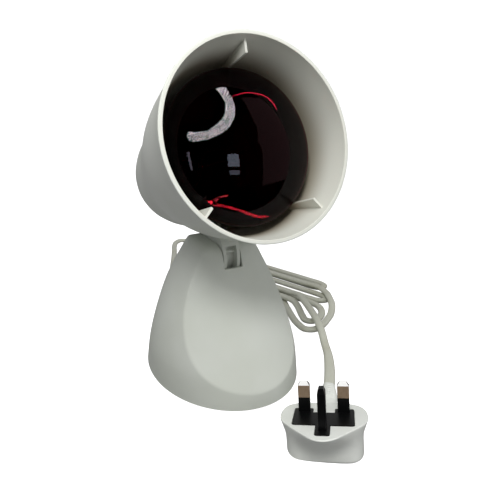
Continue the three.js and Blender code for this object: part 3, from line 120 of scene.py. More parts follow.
# Mains lead: the same route as the solids
FLEX = {"width": 6.3, "thick": 3.9, "length": 1.708}
LEAD = [
    (0, 96.6, 9), (0.4, 104, 8.2), (3, 116, 5), (9, 132, 2.8), (18, 152, 2.1), (28, 174, 2.1), (38, 197, 2.1),
    (48, 220, 2.1), (57, 242, 2.1), (64, 260, 2.1), (71, 272, 2.1), (79, 277, 2.1), (86, 272, 2.1),
    (88.7, 262, 2.1),
]
HANK_ORIGIN = (150, 66)
HANK_TURN = math.radians(19.9)
HANK = [
    (193.1, 6.1, 2.1), (187, 4.6, 2.1), (150, 4.2, 2.1), (110, 4, 2.1), (60, 4, 2.1), (25, 4, 2.1),
    (8, 3.6, 2.1), (1.5, 0.5, 2.1), (1.5, -5.5, 2.1), (8, -8.6, 2.1), (25, -9, 2.1), (60, -9, 2.1),
    (100, -9.3, 2.1), (118, -10.5, 2.1), (125, -14.7, 2.1), (118, -19, 2.1), (100, -20.5, 2.1),
    (60, -20.5, 2.1), (20, -20.5, 2.1), (-5, -20.5, 2.1), (-14, -22, 2.1), (-18, -27, 2.1), (-14, -32, 2.1),
    (-5, -33.5, 2.1), (20, -33.5, 2.1), (60, -33.5, 2.1), (93, -33.5, 2.1), (104, -33, 2.4),
    (113, -30.5, 4.2), (118, -25, 6.6), (112, -17.8, 6.6), (95, -15, 6.6), (60, -15, 6.6), (20, -14.6, 6.6),
    (0, -14, 6.6), (-15, -21.5, 6.6), (-23, -29, 6.7), (-30.5, -36.5, 5), (-37.5, -49, 2.6), (-41, -61, 2.1),
    (-43.5, -74, 2.1), (-42, -83, 2.1), (-36, -87, 2.1), (-28.5, -84.5, 2.1), (-19, -79, 2.1), (-1, -65, 2.1),
    (15, -53, 2.1), (35, -50.5, 2.1), (60, -50.5, 2.1), (72, -50.3, 2.1), (80, -49.2, 3), (86, -45.5, 4.7),
    (88, -41, 6.3), (86, -36.5, 6.7), (76, -34.6, 6.6), (67, -37.4, 6.6), (61.5, -40.1, 6.6),
    (56, -41.6, 5.2), (50, -41.9, 3.3), (42, -41.7, 2.1), (12, -41.3, 2.1), (-8, -40.8, 2.1), (-20, -43, 2.1),
    (-28.5, -50, 2.1), (-33, -59, 2.1), (-34.3, -66.5, 2.1), (-32, -72, 2.1), (-27, -73.2, 2.1),
    (-20, -68.5, 2.6), (-10, -61, 5.2), (-3, -57.3, 6.7), (5, -55.5, 6.8), (20, -56.2, 6.8), (29, -59.4, 6),
    (38, -60, 3.4), (50, -59, 2.1), (61, -58.8, 3.2), (69.5, -57.8, 5.8), (75, -54.4, 7.7), (75.6, -50, 8),
    (70, -47.6, 7.7), (58, -48.3, 7.1), (47, -49, 7), (37, -45.6, 6.9), (30, -43, 6.8), (25, -42.6, 6.6),
]
RUN = [
    (103.2, 70.8, 6.6), (104.2, 62, 7.4), (104.3, 52, 9.8), (103.6, 45, 11.5), (101.3, 37, 11.6),
    (95.5, 16, 10.6), (90, -2, 8.6), (85.5, -14, 5.4), (80, -25, 2.8), (72, -40, 2.1), (61, -56, 2.3),
    (50, -70, 4.2), (43, -78.6, 5.8), (37.6, -87.2, 6.3),
]

# Strain reliefs on the stand and the plug: ribs, how far they slant and dip, and the share that stays plain
GLAND = {
    "y": 66.4, "z": 9, "length": 30, "root": (14.4, 11.6), "tip": (8.4, 6), "ribs": 5, "slant": 0,
    "dip": 0.55, "plain": 0,
}
GLAND_COLLAR = {"width": 12.1, "thick": 9.3, "inner": 60, "outer": 67}
BOOT = {
    "x": 18.6, "y": -105.7, "z": 7, "turn": -45.5, "drop": -1.6, "length": 38, "root": (11.4, 8.8),
    "tip": (8, 5.6), "bend_from": 25, "bend": -0.2, "ribs": 17, "slant": 0.55, "dip": 0.3, "plain": 0.5,
}
BOOT_HOLE = {"gap": 0.6, "inner": -6, "outer": 26}
RIB = {"steps": 16, "side_share": 0.8, "end_share": 0.95, "fade": 6, "bore_depth": 6, "bore_gap": 0.5}
SWELL = {"from": 75, "to": 35, "width": 1.24}

# Plug: lies on its back with the pins up; its foot and top have draws at a few heights
PLUG_SPOT = Vector((14.7, -109.4, 18))
PLUG_TURNS = (-13.2, -5.4, -38.9)
PLUG_TOP = [
    (0, -36.6), (4.1, -35.6), (8, -32.7), (11.2, -29.2), (16, -23.8), (20, -18.9), (22.9, -14.8),
    (24.2, -10.9), (24.7, -7), (24.6, -2.5), (23.6, 3), (20.8, 8), (16, 10.8), (8, 11.8), (0, 11.8),
]
PLUG_FOOT = [
    (0, -17.8), (4, -17.8), (8, -17.8), (12, -17.7), (16, -17), (19, -14.8), (20.9, -11.4), (21.7, -7.6),
    (21.9, -3.8), (21.9, 0), (21.8, 3), (20.6, 6.6), (16, 9.6), (8, 10.2), (0, 10.2),
]
PLUG_DEPTHS = [0, 0.05, 0.18, 0.36, 0.55, 0.73, 0.9, 1]
PLUG_INWARD = [0, 0.06, 0.4, 0.85, 1, 1, 1, 1]
PLUG_BACKWARD = [0, 0.02, 0.2, 0.5, 0.76, 0.9, 0.97, 1]
PLUG_TOP_EDGE = ((0, 0.985), (0.08, 0.991), (0.3, 0.997), (0.7, 1))
PLUG_FOOT_EDGE = ((0.7, 0.985), (1.3, 0.955), (1.9, 0.9), (2.4, 0.84))
PLUG = {"depth": 21, "rise": 0.4, "sides": 112}
TABLE_CUT = ((-200, -300, -60), (300, 200, 0.3))

# Right half of the black pin carrier: a corner, the way it moves when the outline grows, and its rounding
CARRIER = (
    ((3.9, -31.5), (1, -1), 1.8), ((3.9, -19.5), (1, -1), 0.3), ((17, -19.5), (1, -1), 2.2),
    ((17, 2.6), (1, 1), 1.5), ((6.3, 2.6), (-1, 1), 0.8), ((6.3, -3), (-1, 1), 0.3),
)
CARRIER_FIT = {"sunk": 3, "gap": 0.25, "pocket": (-3.3, 6), "soft": 0.35}
HOLES = {"pin": (3.5, 2.1), "earth": (2.25, -26.3, -18.1), "low": -5, "high": 2}

# Pins: a tip has the length of its slopes, how much each corner comes in, and the thickness of its nose
PIN = {
    "gap": 11.2, "wide": 6.8, "thick": 4, "length": 18, "sleeve": 7.9, "round": 0.35, "tip": (2.4, 1.4, 0.9),
}
EARTH = {"y": -22.2, "wide": 4.3, "thick": 8, "low": -5, "length": 22.6, "tip": (2.8, 0.9, 4.6)}
COLLAR = {"gap": 0.3, "soft": 0.15}
NOSE = {"drop": 0.3, "corner_share": 0.85, "thicker": 0.5, "round_share": 0.3, "round": 0.35}

# Camera, found from the pins and the bulb in the picture
CAMERA = {"spot": (-141.7, -309.1, 201.1), "azimuth": -29.2, "elevation": 19.1, "lens": 36, "sensor": 36}
CAMERA_REACH = (0.01, 20)
PICTURE = 500

# Studio: soft lights with their place, size and colour, in metres as the backdrop is; the floors and the
# dark room behind the camera are in the lamp's millimetres
LIGHTS = (
    ("key", (-0.17, -0.34, 0.5), 0.17, (1, 0.995, 0.98)),
    ("high", (-0.06, -0.12, 0.6), 0.2, (1, 1, 1)),
    ("fill", (0.35, -1.0, 0.55), 0.7, (1, 1, 1)),
    ("overhead", (0.1, 0.2, 1.5), 1.6, (1, 1, 1)),
    ("back", (-0.6, 1.1, 0.9), 1.2, (1, 1, 1)),
)
LIGHTS_AIM = (0, -0.03, 0.12)
FLOOR = {"half": 4000, "bounce_drop": 2, "bounce": 0.6}
BACKDROP = {"radius": 3.5, "glow": 1.1}
DARK_ROOM = {"radius": 2600, "turns": (-180, 0, 25), "lifts": (-80, 80, 15)}

# Lights mirrored in the glass, by the picture's pixels: name, line, distance from the glass, columns, rows,
# pitch between rows, half a square's side as a share of the pitch, colour, strength
GLINTS = (
    (
        "diode_arc",
        ((219.5, 86.5), (225, 93.5), (229, 101.5), (230.3, 110), (228.5, 118), (222.5, 126), (213.3, 132.1),
         (201.6, 136.1), (191.8, 136.8), (187.5, 133)),
        400, 31, 5, 10.4, 0.26, (1, 0.98, 1), 120,
    ),
    (
        "red_arc_high",
        ((232.1, 96.9), (242.7, 93.2), (254.4, 93.2), (266.2, 96.9), (274.2, 104.9), (276.4, 110.1)),
        18, 40, 1, 1, 0.42, (1, 0.03, 0.09), 45,
    ),
    (
        "red_arc_low", ((209, 203), (218, 205), (228, 207), (242.7, 211.3), (254.4, 215.7), (269, 216.4)),
        12, 24, 3, 1.7, 0.27, (1, 0.04, 0.07), 95,
    ),
    ("red_branch", ((214, 202), (218, 198), (229, 195)), 12, 8, 2, 1.5, 0.27, (1, 0.12, 0.14), 80),
)
PANES = (
    ("window_upper", ((227.3, 154.1), (238.3, 154.1), (239.7, 167), (228, 166.5)), (0.7, 0.8, 1), 10),
    ("window_lower", ((229.5, 170.2), (239.7, 170.2), (239.7, 175), (230, 175.5)), (0.7, 0.78, 1), 6),
    ("far_edge", ((186.5, 152), (189.5, 152), (193, 170), (191, 170)), (0.8, 0.8, 1), 7),
    ("red_spot", ((207.8, 200.6), (212.4, 201), (212, 204.6), (208.2, 204.2)), (1, 0.03, 0.06), 90),
    ("warm_wall", ((241, 98), (266, 99), (300, 172), (262, 186)), (1, 0.55, 0.6), 0.7),
)
PANE_REACH = 900
GLINT_AIM = Vector((0, -70, 165)) * MM


# Shaping
def settled(point):
    """A point in the lamp's own millimetres, in the frame's metres."""
    return Vector((point[0], point[1] - SET_BACK, point[2])) * MM


def head_matrix():
    return Matrix.Translation(RIM) @ Matrix.Rotation(-math.radians(TILT["rest"]), 4, "X")


def plug_matrix():
    pitch, roll, yaw = (math.radians(a) for a in PLUG_TURNS)
    turn = Matrix.Rotation(yaw, 4, "Z") @ Matrix.Rotation(roll, 4, "Y") @ Matrix.Rotation(pitch, 4, "X")
    return Matrix.Translation(PLUG_SPOT) @ turn


def boot_matrix():
    turn, drop = math.radians(BOOT["turn"]), math.radians(BOOT["drop"])
    turned = Matrix.Rotation(turn, 4, "Z") @ Matrix.Rotation(drop, 4, "X")
    return Matrix.Translation((BOOT["x"], BOOT["y"], BOOT["z"])) @ turned


def even_curve(points, count):
    """A curve through points at even steps of its own measure, as (count + 1) points."""
    pts = [Vector(p) for p in points]
    made = []
    last = len(pts) - 1
    for i in range(count + 1):
        place = i / count * last
        k = min(int(place), last - 1)
        t = place - k
        a, b = pts[max(k - 1, 0)], pts[k]
        c, d = pts[k + 1], pts[min(k + 2, last)]
        if k == 0:
            a = b
        if k == last - 1:
            d = c
        v0, v1 = (c - a) * 0.5, (d - b) * 0.5
        made.append((2 * b - 2 * c + v0 + v1) * t**3 + (-3 * b + 3 * c - 2 * v0 - v1) * t**2 + v0 * t + b)
    return made


def share_curve(depths, depth, radii, radius, count, start=0):
    points = [(r * radius, start + d * depth) for d, r in zip(depths, radii)]
    return [(p.x, p.y) for p in even_curve(points, count)]


def chordal_curve(points, per_span):
    """A smooth route through points that never loops between them."""
    pts = [Vector(p) for p in points]
    pts = [pts[0] * 2 - pts[1]] + pts + [pts[-1] * 2 - pts[-2]]
    made = []
    for k in range(1, len(pts) - 2):
        p0, p1, p2, p3 = pts[k - 1 : k + 3]
        d0, d1, d2 = ((b - a).length ** 0.5 for a, b in ((p0, p1), (p1, p2), (p2, p3)))
        t1 = ((p1 - p0) / d0 - (p2 - p0) / (d0 + d1) + (p2 - p1) / d1) * d1
        t2 = ((p2 - p1) / d1 - (p3 - p1) / (d1 + d2) + (p3 - p2) / d2) * d1
        for i in range(per_span):
            t = i / per_span
            c2, c3 = -3 * p1 + 3 * p2 - 2 * t1 - t2, 2 * p1 - 2 * p2 + t1 + t2
            made.append(p1 + t1 * t + c2 * t**2 + c3 * t**3)
    made.append(pts[-2])
    return made


def fillet(outline, radius, steps=4, closed=True):
    """Rounds the corners of a flat outline."""
    made = []
    count = len(outline)
    for i, here in enumerate(outline):
        if not closed and i in (0, count - 1):
            made.append(tuple(here))
            continue
        r = radius[i] if isinstance(radius, (list, tuple)) else radius
        p = Vector(here)
        a, b = Vector(outline[i - 1]) - p, Vector(outline[(i + 1) % count]) - p
        reach = min(r, a.length * 0.49, b.length * 0.49)
        if reach < 1e-4:
            made.append(tuple(here))
            continue
        start, end = p + a.normalized() * reach, p + b.normalized() * reach
        for k in range(steps + 1):
            t = k / steps
            made.append(tuple(start * (1 - t) ** 2 + p * 2 * t * (1 - t) + end * t**2))
    return made


def mesh_object(name, points, faces, matrix=None):
    """A new object from points in the lamp's millimetres."""
    mesh = bpy.data.meshes.new(name)
    placed = [settled(matrix @ Vector(p) if matrix else p) for p in points]
    mesh.from_pydata(placed, [], faces)
    tidy = bmesh.new()
    tidy.from_mesh(mesh)
    bmesh.ops.remove_doubles(tidy, verts=tidy.verts, dist=1e-6)
    bmesh.ops.recalc_face_normals(tidy, faces=tidy.faces)
    tidy.to_mesh(mesh)
    tidy.free()
    made = bpy.data.objects.new(name, mesh)
    bpy.context.scene.collection.objects.link(made)
    return made


def rings_object(name, rings, matrix=None, closed_ends=True):
    """Rings of equal length joined side to side."""
    count = len(rings[0])
    points = [p for ring in rings for p in ring]
    faces = []
    for row in range(len(rings) - 1):
        for j in range(count):
            k = (j + 1) % count
            a, b = row * count, (row + 1) * count
            faces.append((a + j, a + k, b + k, b + j))
    if closed_ends:
        faces.append(tuple(range(count)))
        faces.append(tuple(range((len(rings) - 1) * count, len(rings) * count))[::-1])
    return mesh_object(name, points, faces, matrix)


def lathe_object(name, outline, sides, matrix):
    """An outline of radius and depth, closed or ending on the axis at both ends, turned about that axis."""
    on_axis = outline[0][0] < 1e-6 and outline[-1][0] < 1e-6
    points, faces, rows = [], [], []
    for radius, depth in outline:
        if radius < 1e-6:
            rows.append([len(points)] * sides)
            points.append((0, depth, 0))
            continue
        rows.append(list(range(len(points), len(points) + sides)))
        for j in range(sides):
            a = 2 * math.pi * j / sides
            points.append((radius * math.cos(a), depth, radius * math.sin(a)))
    pairs = list(zip(rows, rows[1:]))
    if not on_axis:
        pairs.append((rows[-1], rows[0]))
    for one, two in pairs:
        for j in range(sides):
            k = (j + 1) % sides
            face = []
            for v in (one[j], one[k], two[k], two[j]):
                if v not in face:
                    face.append(v)
            if len(face) > 2:
                faces.append(face)
    return mesh_object(name, points, faces, matrix)


def prism_object(name, outline, low, high, axis="Z", matrix=None):
    """A flat outline drawn along an axis: XY along Z, YZ along X, or XZ along Y."""
    order = {"Z": (0, 1, 2), "X": (2, 0, 1), "Y": (0, 2, 1)}[axis]
    rings = [[tuple((a, b, c)[i] for i in order) for a, b in outline] for c in (low, high)]
    return rings_object(name, rings, matrix)


def box_object(name, low, high, matrix=None):
    outline = [(low[0], low[1]), (high[0], low[1]), (high[0], high[1]), (low[0], high[1])]
    return prism_object(name, outline, low[2], high[2], "Z", matrix)


def rod_object(name, radius, low, high, middle, axis, sides=24, matrix=None):
    turns = [2 * math.pi * i / sides for i in range(sides)]
    outline = [(middle[0] + radius * math.cos(a), middle[1] + radius * math.sin(a)) for a in turns]
    return prism_object(name, outline, low, high, axis, matrix)


def ring_of_rods(name, rod, ring, sides=24):
    """Rods that stand in a ring round the head's axis."""
    made = []
    for i in range(ring["count"]):
        a = math.radians(ring["first"] + 360 / ring["count"] * i)
        middle = (ring["ring"] * math.cos(a), ring["ring"] * math.sin(a))
        made.append(rod_object(name, *rod, middle, "Y", sides, head_matrix()))
    return made


def apply_modifiers(made):
    view = bpy.context.evaluated_depsgraph_get()
    mesh = bpy.data.meshes.new_from_object(made.evaluated_get(view))
    made.modifiers.clear()
    made.data = mesh


def carve(made, tools, operation="DIFFERENCE", solver="EXACT"):
    """Cuts tools from a piece, or joins them to it, and takes the tools away."""
    for tool in tools:
        step = made.modifiers.new("carve", "BOOLEAN")
        step.operation = operation
        step.solver = solver
        step.object = tool
        apply_modifiers(made)
        bpy.data.objects.remove(tool, do_unlink=True)
    if len(made.data.polygons) < 4:
        raise RuntimeError(f"{made.name} came out empty")


def soften(made, width, angle=40, segments=2):
    """Breaks sharp edges by a small width in millimetres."""
    bevel = made.modifiers.new("soften", "BEVEL")
    bevel.width = width * MM
    bevel.segments = segments
    bevel.limit_method = "ANGLE"
    bevel.angle_limit = math.radians(angle)
    bevel.use_clamp_overlap = True
    bevel.harden_normals = False
    apply_modifiers(made)


def smooth(made, angle=32):
    """Smooth shading in which the broad faces, not the narrow ones, set the direction."""
    made.data.shade_smooth()
    made.data.set_sharp_from_angle(angle=math.radians(angle))
    weighted = made.modifiers.new("weighted", "WEIGHTED_NORMAL")
    weighted.keep_sharp = True
    apply_modifiers(made)


def dress(made, finish, body, stands_for=(), angle=32):
    """Gives a piece its finish and slot, and seats it on a body in place of its solids."""
    smooth(made, angle)
    made.data.materials.clear()
    made.data.materials.append(FINISHES[finish]())
    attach(made, body)
    if stands_for:
        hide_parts(*stands_for)


# Shader maths
class Wire:
    """A socket of a material's tree that takes part in Python arithmetic."""

    def __init__(self, sheet, socket):
        self.sheet = sheet
        self.socket = socket

    def _maths(self, operation, *values):
        return self.sheet.node("ShaderNodeMath", {"operation": operation}, *values)

    def __add__(self, other):
        return self._maths("ADD", self, other)

    def __radd__(self, other):
        return self._maths("ADD", other, self)

    def __sub__(self, other):
        return self._maths("SUBTRACT", self, other)

    def __rsub__(self, other):
        return self._maths("SUBTRACT", other, self)

    def __mul__(self, other):
        return self._maths("MULTIPLY", self, other)

    def __rmul__(self, other):
        return self._maths("MULTIPLY", other, self)

    def __gt__(self, other):
        return self._maths("GREATER_THAN", self, other)

    def __lt__(self, other):
        return self._maths("LESS_THAN", self, other)


class Sheet:
    """A material whose nodes are laid down by calls; constants go straight onto the shader's sockets."""

    def __init__(self, name, **constants):
        self.material = bpy.data.materials.new(name)
        self.material.use_nodes = True
        self.tree = self.material.node_tree
        self.shader = self.tree.nodes["Principled BSDF"]
        for key, value in constants.items():
            self.shader.inputs[key.replace("_", " ")].default_value = value
        self.places = self.node("ShaderNodeTexCoord", {}, out="Object")

    def node(self, kind, settings, *values, out=0, **named):
        """A node with its settings, then its sockets' values or links; None leaves a socket as it is."""
        made = self.tree.nodes.new(kind)
        for key, value in settings.items():
            setattr(made, key, value)
        pairs = [(made.inputs[i], v) for i, v in enumerate(values)]
        pairs += [(made.inputs[key.replace("_", " ")], v) for key, v in named.items()]
        for socket, value in pairs:
            if isinstance(value, Wire):
                self.tree.links.new(value.socket, socket)
            elif value is not None:
                socket.default_value = value
        return Wire(self, made.outputs[out])

    def grain(self, scale, detail=2.0, places=None):
        sockets = {"Vector": places or self.places, "Scale": scale, "Detail": detail}
        return self.node("ShaderNodeTexNoise", {"noise_dimensions": "3D"}, **sockets)

    def blend(self, low, high, share):
        """Two colours by a share from 0 to 1."""
        low, high = (value if isinstance(value, Wire) else (*value[:3], 1) for value in (low, high))
        unused = [None] * 5
        settings = {"data_type": "RGBA", "clamp_factor": True}
        return self.node("ShaderNodeMix", settings, share, *unused, low, high, out=2)

    def step(self, value, low, high):
        """Rises smoothly from 0 at low to 1 at high."""
        settings = {"interpolation_type": "SMOOTHSTEP", "clamp": True}
        return self.node("ShaderNodeMapRange", settings, value, low, high, 0.0, 1.0)

    def vector(self, operation, *values, out=0, **named):
        return self.node("ShaderNodeVectorMath", {"operation": operation}, *values, out=out, **named)

    def round_axis(self, start, axis):
        """Depth along an axis from its start, and distance from that axis, in metres."""
        centred = self.vector("SUBTRACT", self.places, tuple(start))
        depth = self.vector("DOT_PRODUCT", centred, tuple(axis), out="Value")
        along = self.vector("SCALE", tuple(axis), Scale=depth)
        return depth, self.vector("LENGTH", self.vector("SUBTRACT", centred, along), out="Value")

    def feed(self, name, wire):
        self.tree.links.new(wire.socket, self.shader.inputs[name])

    def fed(self, name):
        """What feeds one of the shader's sockets so far."""
        return Wire(self, self.shader.inputs[name].links[0].from_socket)

    def relief(self, height, strength, distance):
        bump = self.node("ShaderNodeBump", {}, Strength=strength, Distance=distance, Height=height)
        self.feed("Normal", bump)


FINISHES = {}


def finish(slot):
    """Enters a maker of sheets under its slot, so that its material is made once."""

    def enter(maker):
        FINISHES[slot] = functools.cache(lambda: maker().material)
        return maker

    return enter


def linear(colour):
    return tuple(c / 12.92 if c < 0.0405 else ((c + 0.055) / 1.055) ** 2.4 for c in colour)


def tinted(colour, factor):
    return tuple(c * f for c, f in zip(colour, factor if isinstance(factor, tuple) else (factor,) * 3))


# Finishes
def moulded(name, colour, roughness, spark=0.06, soil=0.35):
    """Injection-moulded plastic: fine spark texture, faint clouding, a few specks of dust."""
    sheet = Sheet(name, Roughness=roughness, IOR=1.46)
    cloud = sheet.grain(24.0, 3.0)
    fine = sheet.grain(2600.0)
    base = sheet.blend(tinted(colour, (0.955, 0.96, 0.94)), tinted(colour, 1.02), sheet.step(cloud, 0.3, 0.7))
    sockets = {"Vector": sheet.places, "Scale": 75.0}
    cells = sheet.node("ShaderNodeTexVoronoi", {"feature": "F1"}, out="Distance", **sockets)
    speck = (cells < 0.022) * (sheet.grain(31.0, 0.0) > 0.56) * soil
    sheet.feed("Base Color", sheet.blend(base, tinted(colour, 0.42), speck))
    sheet.feed("Roughness", roughness - 0.04 + fine * 0.08)
    sheet.relief(fine, spark, 0.00012)
    return sheet


def metal(name, colour, roughness, brushed=900.0):
    """Metal with fine drawn marks and a little tarnish."""
    sheet = Sheet(name, Metallic=1.0, Roughness=roughness)
    stretched = sheet.node("ShaderNodeMapping", {}, Vector=sheet.places, Scale=(1.0, 1.0, 0.06))
    marks = sheet.grain(brushed, 2.0, stretched)
    tarnish = sheet.step(sheet.grain(160.0, 3.0), 0.45, 0.75)
    sheet.feed("Base Color", sheet.blend(colour, tinted(colour, (0.62, 0.56, 0.5)), tarnish))
    sheet.feed("Roughness", roughness - 0.06 + marks * 0.16)
    sheet.relief(marks, 0.05, 0.0001)
    return sheet


@finish("housing_plastic")
def housing_finish():
    return moulded("stand moulding", tuple(PAINTS().housing), 0.46)


@finish("shade_plastic")
def shade_finish():
    """The shade's plastic: dry white outside; inside, darker and browner towards the back, partly heat
    browning and partly painted shade where the bulb and the rim shadow the wall.
    """
    colour = tuple(PAINTS().shade)
    sheet = moulded("shade moulding", colour, 0.4, 0.045, 0.2)
    depth, radius = sheet.round_axis(settled(RIM), head_matrix().to_3x3() @ Vector((0, 1, 0)))
    skin = SHADE["radius"] * MM - depth * 0.115 - depth * depth * 0.75
    inside = sheet.step(skin - radius, 0.0009, 0.0018) * (depth < 0.126)
    # painted shade: the inner wall darkens to about half its brightness deeper in, standing in for the shadow
    # of the bulb and the rim, with some heat browning
    browning_and_painted_shade = sheet.step(depth, 0.01, 0.034)
    heat_tint_and_painted_shade = sheet.blend(tinted(colour, (0.97, 0.955, 0.925)), tinted(colour, (0.5, 0.44, 0.36)), browning_and_painted_shade)
    sheet.feed("Base Color", sheet.blend(sheet.fed("Base Color"), heat_tint_and_painted_shade, inside))
    return sheet


@finish("nylon")
def nylon_finish():
    return moulded("nylon", linear((0.79, 0.785, 0.75)), 0.55, 0.03, 0.0)


@finish("foot_rubber")
def rubber_finish():
    return moulded("foot rubber", linear((0.17, 0.17, 0.17)), 0.8, 0.2, 0.0)


@finish("steel_hardware")
def steel_finish():
    return metal("plated steel", linear((0.72, 0.73, 0.74)), 0.32)


@finish("brass_contacts")
def brass_finish():
    return metal("contact brass", linear((0.78, 0.63, 0.3)), 0.3)


@finish("tungsten")
def tungsten_finish():
    return metal("tungsten wire", linear((0.42, 0.42, 0.43)), 0.4)


@finish("pin_brass")
def pin_finish():
    """Worn brass of the pins: brownish faces, and tips with a painted highlight on their ends and painted
    shade on their sides.
    """
    sheet = metal("pin metal", tuple(PAINTS().pins), 0.3, 1400.0)
    turn = plug_matrix().to_3x3()
    height, _ = sheet.round_axis(settled(PLUG_SPOT), turn @ Vector((0, 0, 1)))
    tip = sheet.step(height, 0.0155, 0.0157)
    # painted highlight and shade: the tips' end faces are coloured near-white, and faces turned towards the
    # pins' sides near-black, by the direction they face
    facing = sheet.node("ShaderNodeNewGeometry", {}, out="Normal")
    aside = sheet.vector("DOT_PRODUCT", facing, tuple(turn @ Vector((1, 0, 0))), out="Value")
    painted_tip_highlight_and_side_shade = sheet.blend((1, 1, 0.99), (0.07, 0.06, 0.05), sheet.step(aside * aside, 0.1, 0.2))
    sheet.feed("Base Color", sheet.blend(sheet.fed("Base Color"), painted_tip_highlight_and_side_shade, tip))
    sheet.feed("Metallic", 0.4 - tip * 0.4)
    sheet.feed("Roughness", 0.34 + tip * 0.1)
    return sheet


@finish("porcelain")
def porcelain_finish():
    return moulded("glazed porcelain", linear((0.92, 0.91, 0.87)), 0.14, 0.01, 0.0)


@finish("ruby_glass")
def ruby_finish():
    """Dark ruby glass, with a painted red reflection towards the rim of the bulb's face."""
    sheet = Sheet("ruby glass", Roughness=0.02, IOR=1.2, Transmission_Weight=1.0)
    _, radius = sheet.round_axis(settled(RIM), head_matrix().to_3x3() @ Vector((0, 1, 0)))
    colour = tuple(PAINTS().ruby)
    # painted reflection: the outer ring of the face is tinted redder, standing in for the dark red sheen that
    # the shade's wall gives there
    painted_rim_reflection_tint = sheet.blend(colour, tinted(colour, (1.6, 1.3, 1.3)), sheet.step(radius, 0.034, 0.047))
    sheet.feed("Base Color", sheet.blend(painted_rim_reflection_tint, tinted(colour, 0.8), sheet.grain(38.0) * 0.5))
    return sheet


@finish("bulb_mirror")
def mirror_finish():
    sheet = Sheet("bulb mirror", Metallic=1.0, Roughness=0.06)
    sheet.feed("Base Color", sheet.blend((0.62, 0.6, 0.58), (0.5, 0.47, 0.45), sheet.grain(60.0, 3.0)))
    return sheet


@finish("clear_glass")
def clear_finish():
    sheet = Sheet("clear glass", Roughness=0.03, IOR=1.5, Transmission_Weight=0.85)
    sheet.feed("Base Color", sheet.blend((0.82, 0.86, 0.88), (0.7, 0.74, 0.75), sheet.grain(50.0)))
    return sheet


@finish("vitrite")
def vitrite_finish():
    return moulded("dark glass insulator", linear((0.12, 0.1, 0.09)), 0.2, 0.02, 0.0)


@finish("cord_sheath")
def flex_finish():
    """Cord sheath: satin soft plastic with long drawn marks and slight soiling."""
    colour = tuple(PAINTS().flex)
    sheet = Sheet("cord sheath", Roughness=0.42, IOR=1.5, Coat_Weight=0.15, Coat_Roughness=0.3)
    soil = sheet.grain(45.0, 4.0)
    fine = sheet.grain(1500.0)
    soiled = sheet.blend(colour, tinted(colour, (0.84, 0.82, 0.76)), sheet.step(soil, 0.42, 0.8))
    sheet.feed("Base Color", soiled)
    sheet.feed("Roughness", 0.36 + fine * 0.1 + soil * 0.06)
    sheet.relief(fine, 0.05, 0.0001)
    return sheet


@finish("plug_moulding")
def plug_finish():
    return moulded("plug moulding", tuple(PAINTS().plug), 0.36, 0.04, 0.15)


@finish("plug_black")
def black_finish():
    sheet = moulded("black moulding", linear((0.05, 0.052, 0.055)), 0.34, 0.05, 0.0)
    sheet.shader.inputs["Specular IOR Level"].default_value = 0.25
    return sheet


# Stand
def bowed(points, count=80):
    """The roof's outline from its two rounded shoulders, as matching lists of places and heights."""
    a, b, c, d, e, f = points
    places, heights = [], []
    for p, q, r in ((a, b, c), (d, e, f)):
        for i in range(count + 1):
            t = i / count
            places.append(p[0] * (1 - t) ** 2 + 2 * q[0] * t * (1 - t) + r[0] * t * t)
            heights.append(p[1] * (1 - t) ** 2 + 2 * q[1] * t * (1 - t) + r[1] * t * t)
    return np.array([a[0] - ROOF_MARGIN, *places, f[0] + ROOF_MARGIN]), np.array([a[1], *heights, f[1]])


def meet(a, b, width):
    """The larger of two distances, with the corner between them rounded."""
    h = np.maximum(width - np.abs(a - b), 0) / width
    return np.maximum(a, b) + h * h * width / 4


def stand_levels():
    """The stand's half width and its reach to the front and the rear, each by its height."""
    shares = {"width": STAND_WIDTHS, "front": STAND_FRONTS, "rear": STAND_REARS}
    return [
        np.array(share_curve(STAND_HEIGHTS, STAND["top"], shares[key], STAND[key], 240)) for key in shares
    ]


def stand_distance(x, y, z, levels, roofs):
    """Signed distance in millimetres to the stand's skin, negative inside."""
    width, front, rear = (np.interp(z, level[:, 1], level[:, 0]) for level in levels)
    half, middle = (front + rear) / 2, (rear - front) / 2
    u, v = x / width, (y - middle) / half
    s = np.maximum(np.hypot(u, v), 1e-3)
    slope = np.hypot(u / width, v / half) / s
    side = (s - 1) / np.maximum(slope, 1e-4) * STAND["slant_share"]
    rise = math.tan(FACE["lean"])
    ahead = -FACE["toe"] + z * rise - FACE["crown"] * (1 - (x / FACE["half"]) ** 2)
    ahead = ahead - FACE["hollow"] * ((z - FACE["mid"]) / FACE["mid"]) ** 2
    dx = 2 * FACE["crown"] * x / FACE["half"] ** 2
    dz = rise - 2 * FACE["hollow"] * (z - FACE["mid"]) / FACE["mid"] ** 2
    best = meet(side, (ahead - y) / np.sqrt(1 + dx * dx + dz * dz), SIZES().crease / MM)
    for (places, heights), across in zip(roofs, (y, x)):
        height, low, high = (np.interp(across + aside, places, heights) for aside in (0, -0.5, 0.5))
        best = meet(best, (z - height) / np.sqrt(1 + (high - low) * (high - low)), SIZES().shoulder / MM)
    return best


